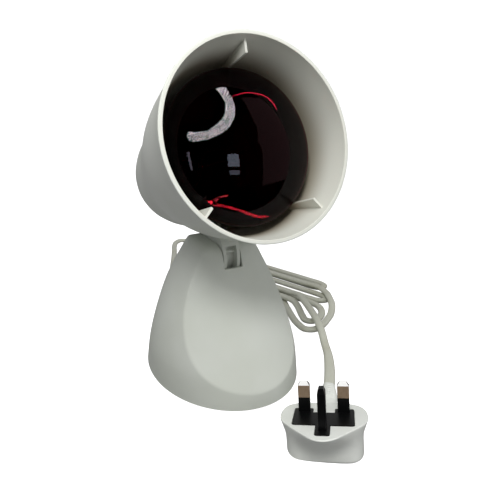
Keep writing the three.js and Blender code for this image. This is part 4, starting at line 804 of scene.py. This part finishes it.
def stand_skin(inset, upright, fan):
    """Rows of points where rays from inside the stand reach its skin: level ones, then a fan to the top."""
    levels, roofs = stand_levels(), (bowed(ROOF_ALONG), bowed(ROOF_ACROSS))
    sides, core, low, bend = STAND_RAYS["sides"], STAND_RAYS["core"], STAND["floor"], STAND_RAYS["bend"]
    turn = np.linspace(0, 2 * math.pi, sides, endpoint=False)
    rows = []
    for row in range(upright + fan + 1):
        lift = 0 if row <= upright else (row - upright) / fan * math.pi / 2
        start = low + (bend - low) * min(row / upright, 1)
        ray = np.array([
            np.cos(turn) * math.cos(lift), np.sin(turn) * math.cos(lift), np.full(sides, math.sin(lift))
        ])
        near, far = np.zeros(sides), np.full(sides, float(STAND_RAYS["reach"]))
        for _ in range(STAND_RAYS["halvings"]):
            mid = (near + far) / 2
            spots = (ray[0] * mid, core + ray[1] * mid, start + ray[2] * mid)
            gap = stand_distance(*spots, levels, roofs) + inset
            near, far = np.where(gap < 0, mid, near), np.where(gap < 0, far, mid)
        reach = (near + far) / 2
        spots = np.array([ray[0] * reach, core + ray[1] * reach, start + ray[2] * reach])
        rows.append([tuple(p) for p in spots.T])
    rows[-1] = [rows[-1][0]] * sides
    return rows


def build_hood():
    """The stand's moulded hood, with its slot for the neck and the hole for the lead."""
    outer = stand_skin(0, *STAND_RAYS["outer"])
    inner = stand_skin(STAND["wall"], *STAND_RAYS["inner"])
    hood = rings_object("stand_shell", inner[::-1] + outer, closed_ends=False)
    low = (-SLOT["half"], SLOT["front"], SLOT["bottom"])
    slot = box_object("slot_tool", low, (SLOT["half"], SLOT["rear"], STAND["top"] + SLOT["over"]))
    soften(slot, SLOT["soft"])
    carve(hood, [slot, oval_tube("exit_tool", WALL_HOLE, GLAND["z"])], solver="MANIFOLD")
    dress(hood, "housing_plastic", "stand", ["stand_hood"], 36)


def arc_points(radius, first, last, count):
    """Points of an arc round the hinge, by angles in degrees, in the lamp's YZ plane."""
    turns = np.radians(np.linspace(first, last, count))
    return [(radius * math.cos(a), NECK["pivot"] + radius * math.sin(a)) for a in turns]


def neck_outline():
    start = math.degrees(math.acos(NECK["front"] / NECK["radius"]))
    outline = [(NECK["front"], NECK["top"]), *arc_points(NECK["radius"], start, NECK_ARCS["front_end"], 40)]
    outline += arc_points(NECK["detent"], *NECK_ARCS["detent"], 28)
    outline += arc_points(NECK["back"], *NECK_ARCS["back"], 12)
    return outline + [(NECK["rear"], NECK["plate"]), (NECK["rear"], NECK["top"])]


def build_neck():
    """The quadrant under the head, with recessed webs between its two cheeks."""
    half, pocket, through = NECK["half"], NECK["pocket"], NECK["through"]
    neck = prism_object("neck_quadrant", neck_outline(), -half, half, "X")
    tools = []
    for inner, outer, first, last in NECK_POCKETS:
        outline = arc_points(outer, first, last, 40) + arc_points(inner, last, first, 40)
        tool = prism_object("pocket_tool", outline, -pocket, pocket, "X")
        carve(tool, [box_object("roof_tool", *NECK_ROOF)])
        tools.append(tool)
    seat = [(0, NECK["seat_front"]), *offset_shade(NECK["seat_gap"], NECK["seat_front"]), (0, SHADE["depth"])]
    tools.append(lathe_object("seat_tool", seat, 96, head_matrix()))
    carve(neck, tools)
    half_peg = pocket + NECK_PEG["sunk"]
    peg = rod_object("peg_tool", NECK_PEG["radius"], -half_peg, half_peg, NECK_PEG["spot"], "X")
    carve(neck, [peg], "UNION")
    notches = arc_points(NECK["detent"], TILT["low"] - 90, TILT["high"] - 90, TILT["clicks"])
    bores = [rod_object("notch_tool", NECK["notch"], -through, through, spot, "X", 12) for spot in notches]
    bores.append(rod_object("axle_tool", NECK["bore"], -through, through, (0, NECK["pivot"]), "X", 32))
    carve(neck, bores)
    soften(neck, NECK["soft"], 50)
    dress(neck, "housing_plastic", "head", ["neck"], 36)


# Head
def offset_shade(offset, start=0):
    """The shade's line from rim to back, moved out by an offset."""
    curve = share_curve(SHADE_DEPTHS, SHADE["depth"], SHADE_RADII, SHADE["radius"], 64)
    return [(r + offset, d) for r, d in curve if d >= start]


def shade_bell():
    """The shade's wall, with a rounded rim."""
    wall, depth = SHADE["wall"], SHADE["depth"]
    outer, inner = offset_shade(0), offset_shade(-wall)[::-1]
    outline = [outer[0]] + [p for p in outer + inner if p[1] > wall]
    outline.append((SHADE["radius"] - wall - SHADE["lip"], 0))
    marks = [0.0] * len(outline)
    marks[0], marks[-1] = SHADE["rim_round"]
    back = max(i for i, p in enumerate(outline) if math.isclose(p[1], depth))
    marks[back - 1] = marks[back] = SHADE["back_round"]
    return lathe_object("shade_bell", fillet(outline, marks), 160, head_matrix())


def shade_fins(curve):
    """The three ribs that run along the inside of the shade's mouth."""
    front, rear, reach, half = FIN["front"], FIN["rear"], FIN["reach"], FIN["thick"] / 2
    front_root, rear_root = (next(r for r, at in curve if at > d) for d in (front, rear))
    corners = [(front_root, front), (reach, front), (reach, rear), (rear_root, rear)]
    outline = fillet(corners, FIN["rounds"], 3)
    fins = []
    for turn in FIN_TURNS:
        place = head_matrix() @ Matrix.Rotation(math.radians(-turn), 4, "Y")
        fin = prism_object("fin_tool", outline, -half, half, "Z", place)
        soften(fin, FIN["soft"], 50)
        fins.append(fin)
    return fins


def build_shade():
    """The shade with its ribs, and the vented shelf and posts behind the bulb."""
    shade = shade_bell()
    curve = offset_shade(-SHADE["wall"] / 2)
    rear, hole = SHELF["rear"], SHELF["hole"]
    front, edge = rear - SHELF["thick"], next(r for r, d in curve if d > rear)
    outline = [(hole, front), (edge, front), (edge, rear), (hole, rear)]
    shelf = lathe_object("shelf_tool", outline, 160, head_matrix())
    carve(shade, [shelf, *shade_fins(curve), *ring_of_rods("post_tool", POST_ROD, POSTS)], "UNION")
    carve(shade, ring_of_rods("vent_tool", VENT_ROD, VENTS))
    dress(shade, "shade_plastic", "head", ["shade"], 34)


def cap_outline():
    """The rear cap's dome, with a lip that goes into the shade."""
    start, depth, wall = CAP["start"], CAP["depth"], CAP["wall"]
    curve = share_curve(CAP_DEPTHS, depth, CAP_RADII, CAP["radius"], 70, start)
    outer = [(r, d) for r, d in curve if r > 0.05]
    within = [(max(r - CAP["side_wall"], 0), d) for r, d in curve if r - wall > 0.05]
    inner = [(r, d - wall * (d - start) / depth) for r, d in within]
    outside, inside = CAP_LIP["outer"], CAP_LIP["inner"]
    tip, end = start - CAP_LIP["reach"], start + CAP_LIP["end"]
    lip = [(outside, start + CAP_LIP["seam"]), (outside, tip), (inside, tip), (inside, end)]
    behind = [p for p in inner if p[1] > end + CAP_LIP["seam"]]
    return [(0, start + depth)] + outer[::-1] + lip + behind + [(0, start + depth - wall)]


def build_rear_cap():
    """The head's rounded end, with its ring of slots and its three screw wells."""
    cap = lathe_object("shade_rear_cap", cap_outline(), 140, head_matrix())
    low = (CAP_VENTS["inner"], CAP["start"] + CAP_VENTS["low"], -CAP_VENTS["half"])
    high = (CAP_VENTS["outer"], CAP["start"] + CAP["depth"] + CAP_VENTS["over"], CAP_VENTS["half"])
    tools = []
    for i in range(CAP_VENTS["count"]):
        turn = Matrix.Rotation(-math.radians(360 / CAP_VENTS["count"] * (i + 0.5)), 4, "Y")
        slot = box_object("vent_tool", low, high, head_matrix() @ turn)
        soften(slot, CAP_VENTS["round"], 60, 5)
        tools.append(slot)
    carve(cap, ring_of_rods("well_tool", WELL_ROD, POSTS, 32), "UNION")
    carve(cap, tools + ring_of_rods("recess_tool", RECESS_ROD, POSTS, 32))
    dress(cap, "shade_plastic", "head", ["rear_cap"], 34)


# Bulb
def bulb_line(inset, count):
    """The bulb's outline from the middle of its face to its neck, moved in by an inset."""
    points = share_curve(BULB_DEPTHS, BULB["length"], BULB_RADII, BULB["radius"], count, BULB["front"])
    made = [(0, points[0][1] + inset)]
    for i in range(1, count + 1):
        a, b = points[i - 1], points[min(i + 1, count)]
        normal = Vector((b[1] - a[1], a[0] - b[0])).normalized()
        made.append((max(points[i][0] - normal.x * inset, 0.01), points[i][1] - normal.y * inset))
    return made


def build_glass():
    """The bulb's ruby glass, and the mirror coat on the back of its inside."""
    outline = bulb_line(0, 110) + bulb_line(BULB["wall"], 90)[::-1]
    glass = lathe_object("bulb_envelope", outline, 144, head_matrix())
    dress(glass, "ruby_glass", "bulb", ["bulb_glass"], 60)
    coat = bulb_line(BULB["wall"] + MIRROR_COAT["gap"], 90)
    back = [p for p in coat if MIRROR_COAT["front"] < p[1] < MIRROR_COAT["rear"]]
    inside = [(r - MIRROR_COAT["thick"], d) for r, d in back][::-1]
    mirror = lathe_object("bulb_mirror_coat", back + inside, 144, head_matrix())
    smooth(mirror, 60)
    mirror.data.materials.append(FINISHES["bulb_mirror"]())
    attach(mirror, "bulb")


# Cord
def oval(width, thick, y=0, z=0, corner=9, lean=0.0):
    """Section of the flat lead, upright in the XZ plane."""
    radius = thick / 2
    reach = width / 2 - radius
    made = []
    for side, first in ((1, -90), (-1, 90)):
        for i in range(corner + 1):
            a = math.radians(first + i * 180 / corner)
            x = side * reach + radius * math.cos(a)
            made.append((x, y + x * lean, z + radius * math.sin(a)))
    return made


def oval_tube(name, shape, z=0, matrix=None):
    """A flat tube along Y."""
    rings = [oval(shape["width"], shape["thick"], shape[end], z) for end in ("inner", "outer")]
    return rings_object(name, rings, matrix)


def lead_route():
    """The whole of the cord's middle line, from the stand to the plug."""
    along = Vector((-math.sin(HANK_TURN), math.cos(HANK_TURN)))
    across = Vector((along.y, -along.x))
    hank = [(*(Vector(HANK_ORIGIN) + along * p + across * q), z) for p, q, z in HANK]
    return chordal_curve(LEAD + hank + RUN, 9)


def build_lead():
    """One flat twin lead from the stand, round its hank, to the plug, near which it swells."""
    route = lead_route()
    section = [(x, z) for x, _, z in oval(FLEX["width"], FLEX["thick"], corner=7)]
    steps = [(b - a).length for a, b in zip(route, route[1:])]
    rings = []
    for i, here in enumerate(route):
        ahead = (route[min(i + 1, len(route) - 1)] - route[max(i - 1, 0)]).normalized()
        side = ahead.cross(Vector((0, 0, 1))).normalized()
        over = side.cross(ahead)
        share = min(max((SWELL["from"] - sum(steps[i:])) / (SWELL["from"] - SWELL["to"]), 0), 1)
        wide = 1 + (SWELL["width"] - 1) * share * share * (3 - 2 * share)
        rings.append([here + side * x * wide + over * z for x, z in section])
    lead = rings_object("mains_lead", rings)
    dress(lead, "cord_sheath", "stand", ["cord_lead", "cord_hank", "cord_run"], 60)
    path = [settled(p) for p in route]


def ribbed(name, shape, swell, matrix):
    """A tapered strain relief with grooves round it, bent where its cord bends."""
    length, root, tip, ribs = shape["length"], shape["root"], shape["tip"], shape["ribs"]
    bore = (FLEX["width"] * swell + RIB["bore_gap"], FLEX["thick"] + RIB["bore_gap"])

    def bent(ring):
        shift, start = shape.get("bend", 0), shape.get("bend_from", length)
        return [(x + shift * max(y - start, 0), y, z) for x, y, z in ring]

    rings = []
    for i in range(ribs * RIB["steps"] + 1):
        share = i / (ribs * RIB["steps"])
        wave = min(1, max(0, 0.5 - math.cos(share * ribs * 2 * math.pi)))
        dip = shape["dip"] * wave * (shape["plain"] <= share <= RIB["end_share"])
        fade = min(1, RIB["fade"] * share, RIB["fade"] * (1 - share))
        width = root[0] + (tip[0] - root[0]) * share - 2 * dip * RIB["side_share"]
        thick = root[1] + (tip[1] - root[1]) * share - 2 * dip
        rings.append(bent(oval(width, thick, length * share, lean=shape["slant"] * fade)))
    rings += [bent(oval(*bore, y)) for y in (length, length - RIB["bore_depth"])]
    return rings_object(name, rings, matrix)


def build_glands():
    """The strain relief on the stand, and the one on the plug, cut off at the table."""
    tail = ribbed("lead_gland", GLAND, 1, Matrix.Translation((0, GLAND["y"], GLAND["z"])))
    carve(tail, [oval_tube("collar_tool", GLAND_COLLAR, GLAND["z"])], "UNION")
    dress(tail, "cord_sheath", "stand", ["cord_gland"], 50)
    boot = ribbed("plug_boot", BOOT, SWELL["width"], boot_matrix())
    carve(boot, [box_object("table_tool", *TABLE_CUT)])
    dress(boot, "plug_moulding", "stand", ["plug_relief"], 50)


# Plug
def plug_ring(depth, inward, backward, draw=1.0):
    """The plug's outline at a depth, between that of its flared top and that of its foot."""
    half, count = [], PLUG["sides"]
    for top, foot in zip(PLUG_TOP, PLUG_FOOT):
        x, y = top[0] + (foot[0] - top[0]) * inward, top[1] + (foot[1] - top[1]) * backward
        half.append((x * draw, y * draw, -depth))
    loop = chordal_curve([(-half[1][0], *half[1][1:])] + half + [(-half[-2][0], *half[-2][1:])], 12)[12:-12]
    both = loop + [Vector((-p.x, p.y, p.z)) for p in loop[-2:0:-1]]
    return [tuple(both[round(i / count * len(both))]) for i in range(count)]


def carrier_outline(grow):
    right = [(x + grow * way_x, y + grow * way_y) for (x, y), (way_x, way_y), _ in CARRIER]
    rounds = [corner for _, _, corner in CARRIER]
    return fillet(right + [(-x, y) for x, y in right[::-1]], rounds + rounds[::-1], 5)


def build_plug_shell():
    """The white moulding, hollowed for the pin carrier and the strain relief, and flat on the table."""
    place, depth = plug_matrix(), PLUG["depth"]
    both = (PLUG_INWARD, PLUG_BACKWARD)
    inward, backward = (share_curve(PLUG_DEPTHS, depth, shares, 1, 30) for shares in both)
    rings = [plug_ring(height, 0, 0, draw) for height, draw in PLUG_TOP_EDGE]
    rings += [plug_ring(height, a, b) for (a, height), (b, _) in zip(inward, backward) if height > 1]
    rings += [plug_ring(depth + extra, 1, 1, draw) for extra, draw in PLUG_FOOT_EDGE]
    shell = rings_object("plug_shell", rings, place)
    outline = carrier_outline(CARRIER_FIT["gap"])
    pocket = prism_object("pocket_tool", outline, *CARRIER_FIT["pocket"], "Z", place)
    wide, thick = (size + BOOT_HOLE["gap"] for size in BOOT["root"])
    boot = oval_tube("boot_tool", {**BOOT_HOLE, "width": wide, "thick": thick}, 0, boot_matrix())
    carve(shell, [pocket, boot, box_object("table_tool", *TABLE_CUT)])
    dress(shell, "plug_moulding", "stand", ["plug_body"], 40)


def build_bridge():
    """The black carrier with a hole for each pin."""
    place, low, high = plug_matrix(), HOLES["low"], HOLES["high"]
    bridge = prism_object("pin_bridge", carrier_outline(0), -CARRIER_FIT["sunk"], PLUG["rise"], "Z", place)
    half, deep = HOLES["pin"]
    spots = (-PIN["gap"], PIN["gap"])
    holes = [box_object("hole_tool", (x - half, -deep, low), (x + half, deep, high), place) for x in spots]
    half, front, rear = HOLES["earth"]
    holes.append(box_object("hole_tool", (-half, front, low), (half, rear, high), place))
    carve(bridge, holes)
    soften(bridge, CARRIER_FIT["soft"], 50, 3)
    dress(bridge, "plug_black", "stand", ["pin_carrier"], 40)


def plate_outline(x, y, wide, thick, corner):
    """A flat pin's section with rounded corners."""
    sides = ((-1, -1), (1, -1), (1, 1), (-1, 1))
    return fillet([(x + a * wide / 2, y + b * thick / 2) for a, b in sides], corner, 3)


def blade(name, spot, size, reach, tip):
    """A flat pin whose four faces slope in at its tip."""
    (wide, thick), (low, high), (slope, corner, nose) = size, reach, tip
    inset = 2 * corner * NOSE["corner_share"]
    rings = []
    for z, w, t in (
        (low, wide, thick), (high - slope, wide, thick),
        (high - NOSE["drop"], wide - inset, nose + NOSE["thicker"]), (high, wide - 2 * corner, nose),
    ):
        outline = plate_outline(*spot, w, t, min(NOSE["round"], t * NOSE["round_share"]))
        rings.append([(a, b, z) for a, b in outline])
    return rings_object(name, rings, plug_matrix())


def build_pins():
    """The two sleeved pins and the long earth pin."""
    size = (PIN["wide"], PIN["thick"])
    top = PIN["sleeve"] + PLUG["rise"]
    for side, name in ((1, "line"), (-1, "neutral")):
        spot = (side * PIN["gap"], 0)
        metal_pin = blade(f"{name}_blade", spot, size, (top + COLLAR["gap"], PIN["length"]), PIN["tip"])
        dress(metal_pin, "pin_brass", "stand", [f"{name}_pin"], 24)
        outline = plate_outline(*spot, *size, PIN["round"])
        low = PLUG["rise"] - CARRIER_FIT["sunk"]
        collar = prism_object(f"{name}_collar", outline, low, top, "Z", plug_matrix())
        soften(collar, COLLAR["soft"], 50)
        dress(collar, "plug_black", "stand", [f"{name}_sleeve"], 40)
    reach = (EARTH["low"], EARTH["length"])
    earth = blade("earth_blade", (0, EARTH["y"]), (EARTH["wide"], EARTH["thick"]), reach, EARTH["tip"])
    dress(earth, "plug_black", "stand", ["earth_pin"], 30)


# Studio
def camera_ahead():
    """The direction in which the camera looks."""
    azimuth, elevation = math.radians(CAMERA["azimuth"]), math.radians(CAMERA["elevation"])
    level = math.cos(elevation)
    return Vector((-math.sin(azimuth) * level, math.cos(azimuth) * level, -math.sin(elevation)))


def emitter(name, points, faces, colour, strength):
    """A lamp seen only as a reflection."""
    mesh = bpy.data.meshes.new(name)
    mesh.from_pydata(points, [], faces)
    made = bpy.data.objects.new(name, mesh)
    bpy.context.scene.collection.objects.link(made)
    glow = {"Emission_Strength": strength, "Emission_Color": (*colour, 1)}
    mesh.materials.append(Sheet(f"{name} glow", Base_Color=(0, 0, 0, 1), **glow).material)
    made.visible_camera = made.visible_diffuse = made.visible_shadow = made.visible_transmission = False
    return made


def seen_in_glass(pixel, reach):
    """The place, so far from the bulb's face, that a pixel of the picture shows mirrored there."""
    face = np.array([p for p in bulb_line(0, 220) if p[1] < BULB["front"] + 18])
    into = head_matrix().inverted() @ Matrix.Translation((0, SET_BACK, 0))
    ahead = camera_ahead()
    right = ahead.cross(Vector((0, 0, 1))).normalized()
    up = right.cross(ahead)
    shift = [(value - PICTURE / 2) / (PICTURE * CAMERA["lens"] / CAMERA["sensor"]) for value in pixel]
    ray = into.to_3x3() @ (ahead + right * shift[0] - up * shift[1]).normalized()
    eye = into @ Vector(CAMERA["spot"])
    caution = 0.8
    travel = eye.length * caution
    for _ in range(60):
        here = eye + ray * travel
        radius = math.hypot(here.x, here.z)
        travel += (np.interp(radius, face[:, 0], face[:, 1]) - here.y) * caution
    aside = 0.4
    low, high = (np.interp(radius + side, face[:, 0], face[:, 1]) for side in (-aside, aside))
    fall = (high - low) / (2 * aside)
    normal = Vector((here.x / radius * fall, -1, here.z / radius * fall)).normalized()
    return into.inverted() @ (here + (ray - normal * 2 * ray.dot(normal)) * reach) * MM


def squares(spine, columns, rows, pitch, half):
    """Staggered rows of small squares along a line, turned towards the bulb, as points and faces."""
    travel = [0.0]
    for a, b in zip(spine, spine[1:]):
        travel.append(travel[-1] + (b - a).length)
    step = travel[-1] / (columns + 0.5)
    points, faces = [], []
    for column in range(columns):
        for row in range(rows):
            place = (column + 0.5 + 0.5 * (row % 2)) * step
            k = min(max(i for i, t in enumerate(travel) if t <= place), len(spine) - 2)
            ahead = (spine[k + 1] - spine[k]).normalized()
            middle = spine[k].lerp(spine[k + 1], (place - travel[k]) / (travel[k + 1] - travel[k]))
            side = ahead.cross(GLINT_AIM - middle).normalized()
            middle = middle + side * (row - (rows - 1) / 2) * pitch * MM
            start = len(points)
            for a, b in ((-1, -1), (1, -1), (1, 1), (-1, 1)):
                points.append(middle + ahead * a * half * step + side * b * half * pitch * MM)
            faces.append((start, start + 1, start + 2, start + 3))
    return points, faces


def mirrored_lights():
    """The lights that the picture shows mirrored in the bulb's glass, which light nothing else."""
    made = []
    glass = bpy.data.collections.new("mirroring_glass")
    glass.objects.link(bpy.data.objects["bulb_envelope"])
    for name, pixels, reach, columns, rows, pitch, half, colour, strength in GLINTS:
        spine = chordal_curve([seen_in_glass(pixel, reach) for pixel in pixels], 4)
        points, faces = squares(spine, columns, rows, pitch, half)
        made.append(emitter(name, points, faces, colour, strength * STUDIO().glints))
    for name, pixels, colour, strength in PANES:
        corners = [seen_in_glass(pixel, PANE_REACH) for pixel in pixels]
        made.append(emitter(name, corners, [(0, 1, 2, 3)], colour, strength * STUDIO().panes))
    for lamp in made:
        lamp.light_linking.receiver_collection = glass
    return made


def soft_light(name, spot, size, colour):
    """A round light, turned to the lamp, with its power from the studio's settings."""
    data = bpy.data.lights.new(name, "AREA")
    data.shape = "DISK"
    data.size = size
    data.energy = getattr(STUDIO(), name)
    data.color = colour
    made = bpy.data.objects.new(name, data)
    bpy.context.scene.collection.objects.link(made)
    made.location = spot
    made.rotation_euler = (Vector(LIGHTS_AIM) - Vector(spot)).to_track_quat("-Z", "Y").to_euler()
    made.visible_glossy = made.visible_transmission = False
    return made


def build_camera():
    data = bpy.data.cameras.new("photo camera")
    data.lens, data.sensor_width = CAMERA["lens"], CAMERA["sensor"]
    data.clip_start, data.clip_end = CAMERA_REACH
    made = bpy.data.objects.new("photo_camera", data)
    bpy.context.scene.collection.objects.link(made)
    made.location = Vector(CAMERA["spot"]) * MM
    azimuth, elevation = math.radians(CAMERA["azimuth"]), math.radians(CAMERA["elevation"])
    made.rotation_euler = (math.pi / 2 - elevation, 0, azimuth)
    bpy.context.scene.camera = made


def dark_room():
    """The unlit room behind the camera, which only mirrored rays reach."""
    turns, lifts = (np.radians(np.linspace(*DARK_ROOM[key])) for key in ("turns", "lifts"))
    reach, count = DARK_ROOM["radius"], len(turns)
    points = [
        (reach * math.cos(t) * math.cos(e), reach * math.sin(t) * math.cos(e), reach * math.sin(e))
        for e in lifts for t in turns
    ]
    faces = [
        (row * count + j, row * count + j + 1, (row + 1) * count + j + 1, (row + 1) * count + j)
        for row in range(len(lifts) - 1) for j in range(count - 1)
    ]
    room = mesh_object("dark_room", points, faces)
    sheet = Sheet("dark room", Base_Color=(0, 0, 0, 1), Roughness=1.0, Specular_IOR_Level=0.0)
    room.data.materials.append(sheet.material)
    room.visible_camera = room.visible_diffuse = room.visible_transmission = room.visible_shadow = False
    return room


def pale_world():
    """Even light from all round."""
    scene = bpy.context.scene
    scene.view_settings.view_transform = "Standard"
    scene.view_settings.look = "None"
    scene.world = bpy.data.worlds.new("pale room")
    scene.world.use_nodes = True
    inputs = scene.world.node_tree.nodes["Background"].inputs
    inputs["Color"].default_value = (1, 1, 1, 1)
    inputs["Strength"].default_value = STUDIO().room


def flat_floor(name, drop, sheet):
    half = FLOOR["half"]
    corners = [(-half, -half, -drop), (half, -half, -drop), (half, half, -drop), (-half, half, -drop)]
    made = mesh_object(name, corners, [(0, 1, 2, 3)])
    made.data.materials.append(sheet.material)
    return made


def build_studio():
    """The floor that the camera sees, a duller one that throws light up, a white backdrop and the lights."""
    pale_world()
    pale = Sheet(
        "studio floor", Roughness=0.9, Specular_IOR_Level=0.1, Emission_Color=(1, 1, 1, 1),
        Emission_Strength=STUDIO().floor,
    )
    pale.feed("Base Color", pale.blend((0.88, 0.88, 0.88), (0.9, 0.9, 0.9), pale.grain(8.0)))
    floor = flat_floor("studio_floor", 0, pale)
    floor.visible_diffuse = floor.visible_glossy = floor.visible_transmission = False
    dull = Sheet("bounce floor", Roughness=0.9, Base_Color=(*(FLOOR["bounce"],) * 3, 1))
    under = flat_floor("bounce_floor", FLOOR["bounce_drop"], dull)
    under.visible_camera = under.visible_glossy = False
    bpy.ops.mesh.primitive_uv_sphere_add(segments=48, ring_count=24, radius=BACKDROP["radius"])
    sky = bpy.context.object
    sky.name = "backdrop"
    glow = {"Emission_Color": (1, 1, 1, 1), "Emission_Strength": BACKDROP["glow"]}
    sky.data.materials.append(Sheet("backdrop", Base_Color=(0, 0, 0, 1), **glow).material)
    sky.visible_diffuse = sky.visible_glossy = sky.visible_transmission = sky.visible_shadow = False
    dark_room()
    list(mirrored_lights())
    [soft_light(*light) for light in LIGHTS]


# Settings
def softness(name, description, size):
    return bpy.props.FloatProperty(
        name=name, description=description, default=size, min=0.0002, max=0.01, unit="LENGTH"
    )


def paint(name, description, colour):
    return bpy.props.FloatVectorProperty(
        name=name, description=description, default=colour, subtype="COLOR", min=0, max=1
    )


def power(name, description, watts):
    return bpy.props.FloatProperty(
        name=name, description=description, default=watts, min=0, max=200, unit="POWER"
    )


def brightness(name, description, amount):
    return bpy.props.FloatProperty(name=name, description=description, default=amount, min=0, max=50)


class HEATLAMP_PG_sizes(bpy.types.PropertyGroup):
    crease: softness("Crease", "Softness of the line where the stand's face meets its side", 0.0006)
    shoulder: softness("Shoulder", "Softness of the edges round the stand's roof", 0.0016)


class HEATLAMP_PG_paints(bpy.types.PropertyGroup):
    housing: paint("Stand", "Colour of the stand's plastic", linear((0.865, 0.88, 0.85)))
    shade: paint("Shade", "Colour of the shade's plastic", linear((0.9, 0.91, 0.885)))
    flex: paint("Cord", "Colour of the cord's sheath", linear((0.86, 0.865, 0.81)))
    plug: paint("Plug", "Colour of the plug's moulding", linear((0.93, 0.94, 0.92)))
    pins: paint("Pins", "Colour of the plug's pins", linear((0.66, 0.57, 0.48)))
    ruby: paint("Glass", "Tint of the bulb's glass", (0.08, 0.002, 0.006))


class HEATLAMP_PG_studio(bpy.types.PropertyGroup):
    room: brightness("Room", "Light from all round", 0.3)
    floor: brightness("Floor", "Glow of the floor", 1.0)
    key: power("Key light", "Power of the main light", 1.5)
    high: power("High light", "Power of the light above the head", 0.5)
    fill: power("Fill light", "Power of the light in front", 2)
    overhead: power("Overhead light", "Power of the light above", 1.0)
    back: power("Back light", "Power of the light behind", 0.7)
    glints: brightness("Glints", "Brightness of the small lights seen in the glass", 1)
    panes: brightness("Panes", "Brightness of the windows seen in the glass", 1)


def SIZES():
    return bpy.context.scene.heat_lamp_sizes


def PAINTS():
    return bpy.context.scene.heat_lamp_paints


def STUDIO():
    return bpy.context.scene.heat_lamp_studio


class HEATLAMP_OT_camera(bpy.types.Operator):
    """Sets up the camera at the photograph's angle"""

    bl_idname = "heatlamp.camera"
    bl_label = "Camera"

    def execute(self, context):
        build_camera()
        return {"FINISHED"}


class HEATLAMP_OT_plug(bpy.types.Operator):
    """Builds the plug, its pins, and the strain reliefs"""

    bl_idname = "heatlamp.plug"
    bl_label = "Plug"

    def execute(self, context):
        build_plug_shell()
        build_bridge()
        build_pins()
        build_glands()
        return {"FINISHED"}


class HEATLAMP_OT_lead(bpy.types.Operator):
    """Lays the mains lead along its route"""

    bl_idname = "heatlamp.lead"
    bl_label = "Mains lead"

    def execute(self, context):
        build_lead()
        return {"FINISHED"}


class HEATLAMP_OT_stand(bpy.types.Operator):
    """Builds the stand's moulded hood"""

    bl_idname = "heatlamp.stand"
    bl_label = "Stand"

    def execute(self, context):
        build_hood()
        return {"FINISHED"}


class HEATLAMP_OT_neck(bpy.types.Operator):
    """Builds the tilting neck"""

    bl_idname = "heatlamp.neck"
    bl_label = "Neck"

    def execute(self, context):
        build_neck()
        return {"FINISHED"}


class HEATLAMP_OT_head(bpy.types.Operator):
    """Builds the shade and its rear cap"""

    bl_idname = "heatlamp.head"
    bl_label = "Head"

    def execute(self, context):
        build_shade()
        build_rear_cap()
        return {"FINISHED"}


class HEATLAMP_OT_bulb(bpy.types.Operator):
    """Builds the bulb's glass and its mirror coat"""

    bl_idname = "heatlamp.bulb"
    bl_label = "Bulb"

    def execute(self, context):
        build_glass()
        return {"FINISHED"}


class HEATLAMP_OT_small_parts(bpy.types.Operator):
    """Finishes the solids that are shown as they are"""

    bl_idname = "heatlamp.small_parts"
    bl_label = "Small parts"

    def execute(self, context):
        for part in frame["record"]["subparts"]:
            node = frame["nodes"][part["node"]]
            if not node.hide_render:
                node.data.materials.clear()
                node.data.materials.append(FINISHES[part["material_slot"]]())
        return {"FINISHED"}


class HEATLAMP_OT_studio(bpy.types.Operator):
    """Sets up the floor and the lights"""

    bl_idname = "heatlamp.studio"
    bl_label = "Studio"

    def execute(self, context):
        build_studio()
        return {"FINISHED"}


class HEATLAMP_PT_panel(bpy.types.Panel):
    """Lists the lamp's pieces and settings"""

    bl_idname = "HEATLAMP_PT_panel"
    bl_label = "Heat lamp"
    bl_space_type = "VIEW_3D"
    bl_region_type = "UI"
    bl_category = "Heat lamp"

    def draw(self, context):
        for group in (SIZES(), PAINTS(), STUDIO()):
            for key in group.bl_rna.properties.keys():
                if key not in ("rna_type", "name"):
                    self.layout.prop(group, key)
        for operator in OPERATORS:
            self.layout.operator(operator.bl_idname)


OPERATORS = (
    HEATLAMP_OT_camera, HEATLAMP_OT_plug, HEATLAMP_OT_lead, HEATLAMP_OT_stand, HEATLAMP_OT_neck,
    HEATLAMP_OT_head, HEATLAMP_OT_bulb, HEATLAMP_OT_small_parts, HEATLAMP_OT_studio,
)
GROUPS = {
    "heat_lamp_sizes": HEATLAMP_PG_sizes,
    "heat_lamp_paints": HEATLAMP_PG_paints,
    "heat_lamp_studio": HEATLAMP_PG_studio,
}


def register():
    for made in (*GROUPS.values(), *OPERATORS, HEATLAMP_PT_panel):
        bpy.utils.register_class(made)
    for name, group in GROUPS.items():
        setattr(bpy.types.Scene, name, bpy.props.PointerProperty(type=group))


def unregister():
    for name in GROUPS:
        delattr(bpy.types.Scene, name)
    for made in (HEATLAMP_PT_panel, *reversed(OPERATORS), *GROUPS.values()):
        bpy.utils.unregister_class(made)


def main():
    register()
    for operator in OPERATORS:
        getattr(bpy.ops.heatlamp, operator.bl_idname.split(".")[1])()


if __name__ == "__main__":
    main()
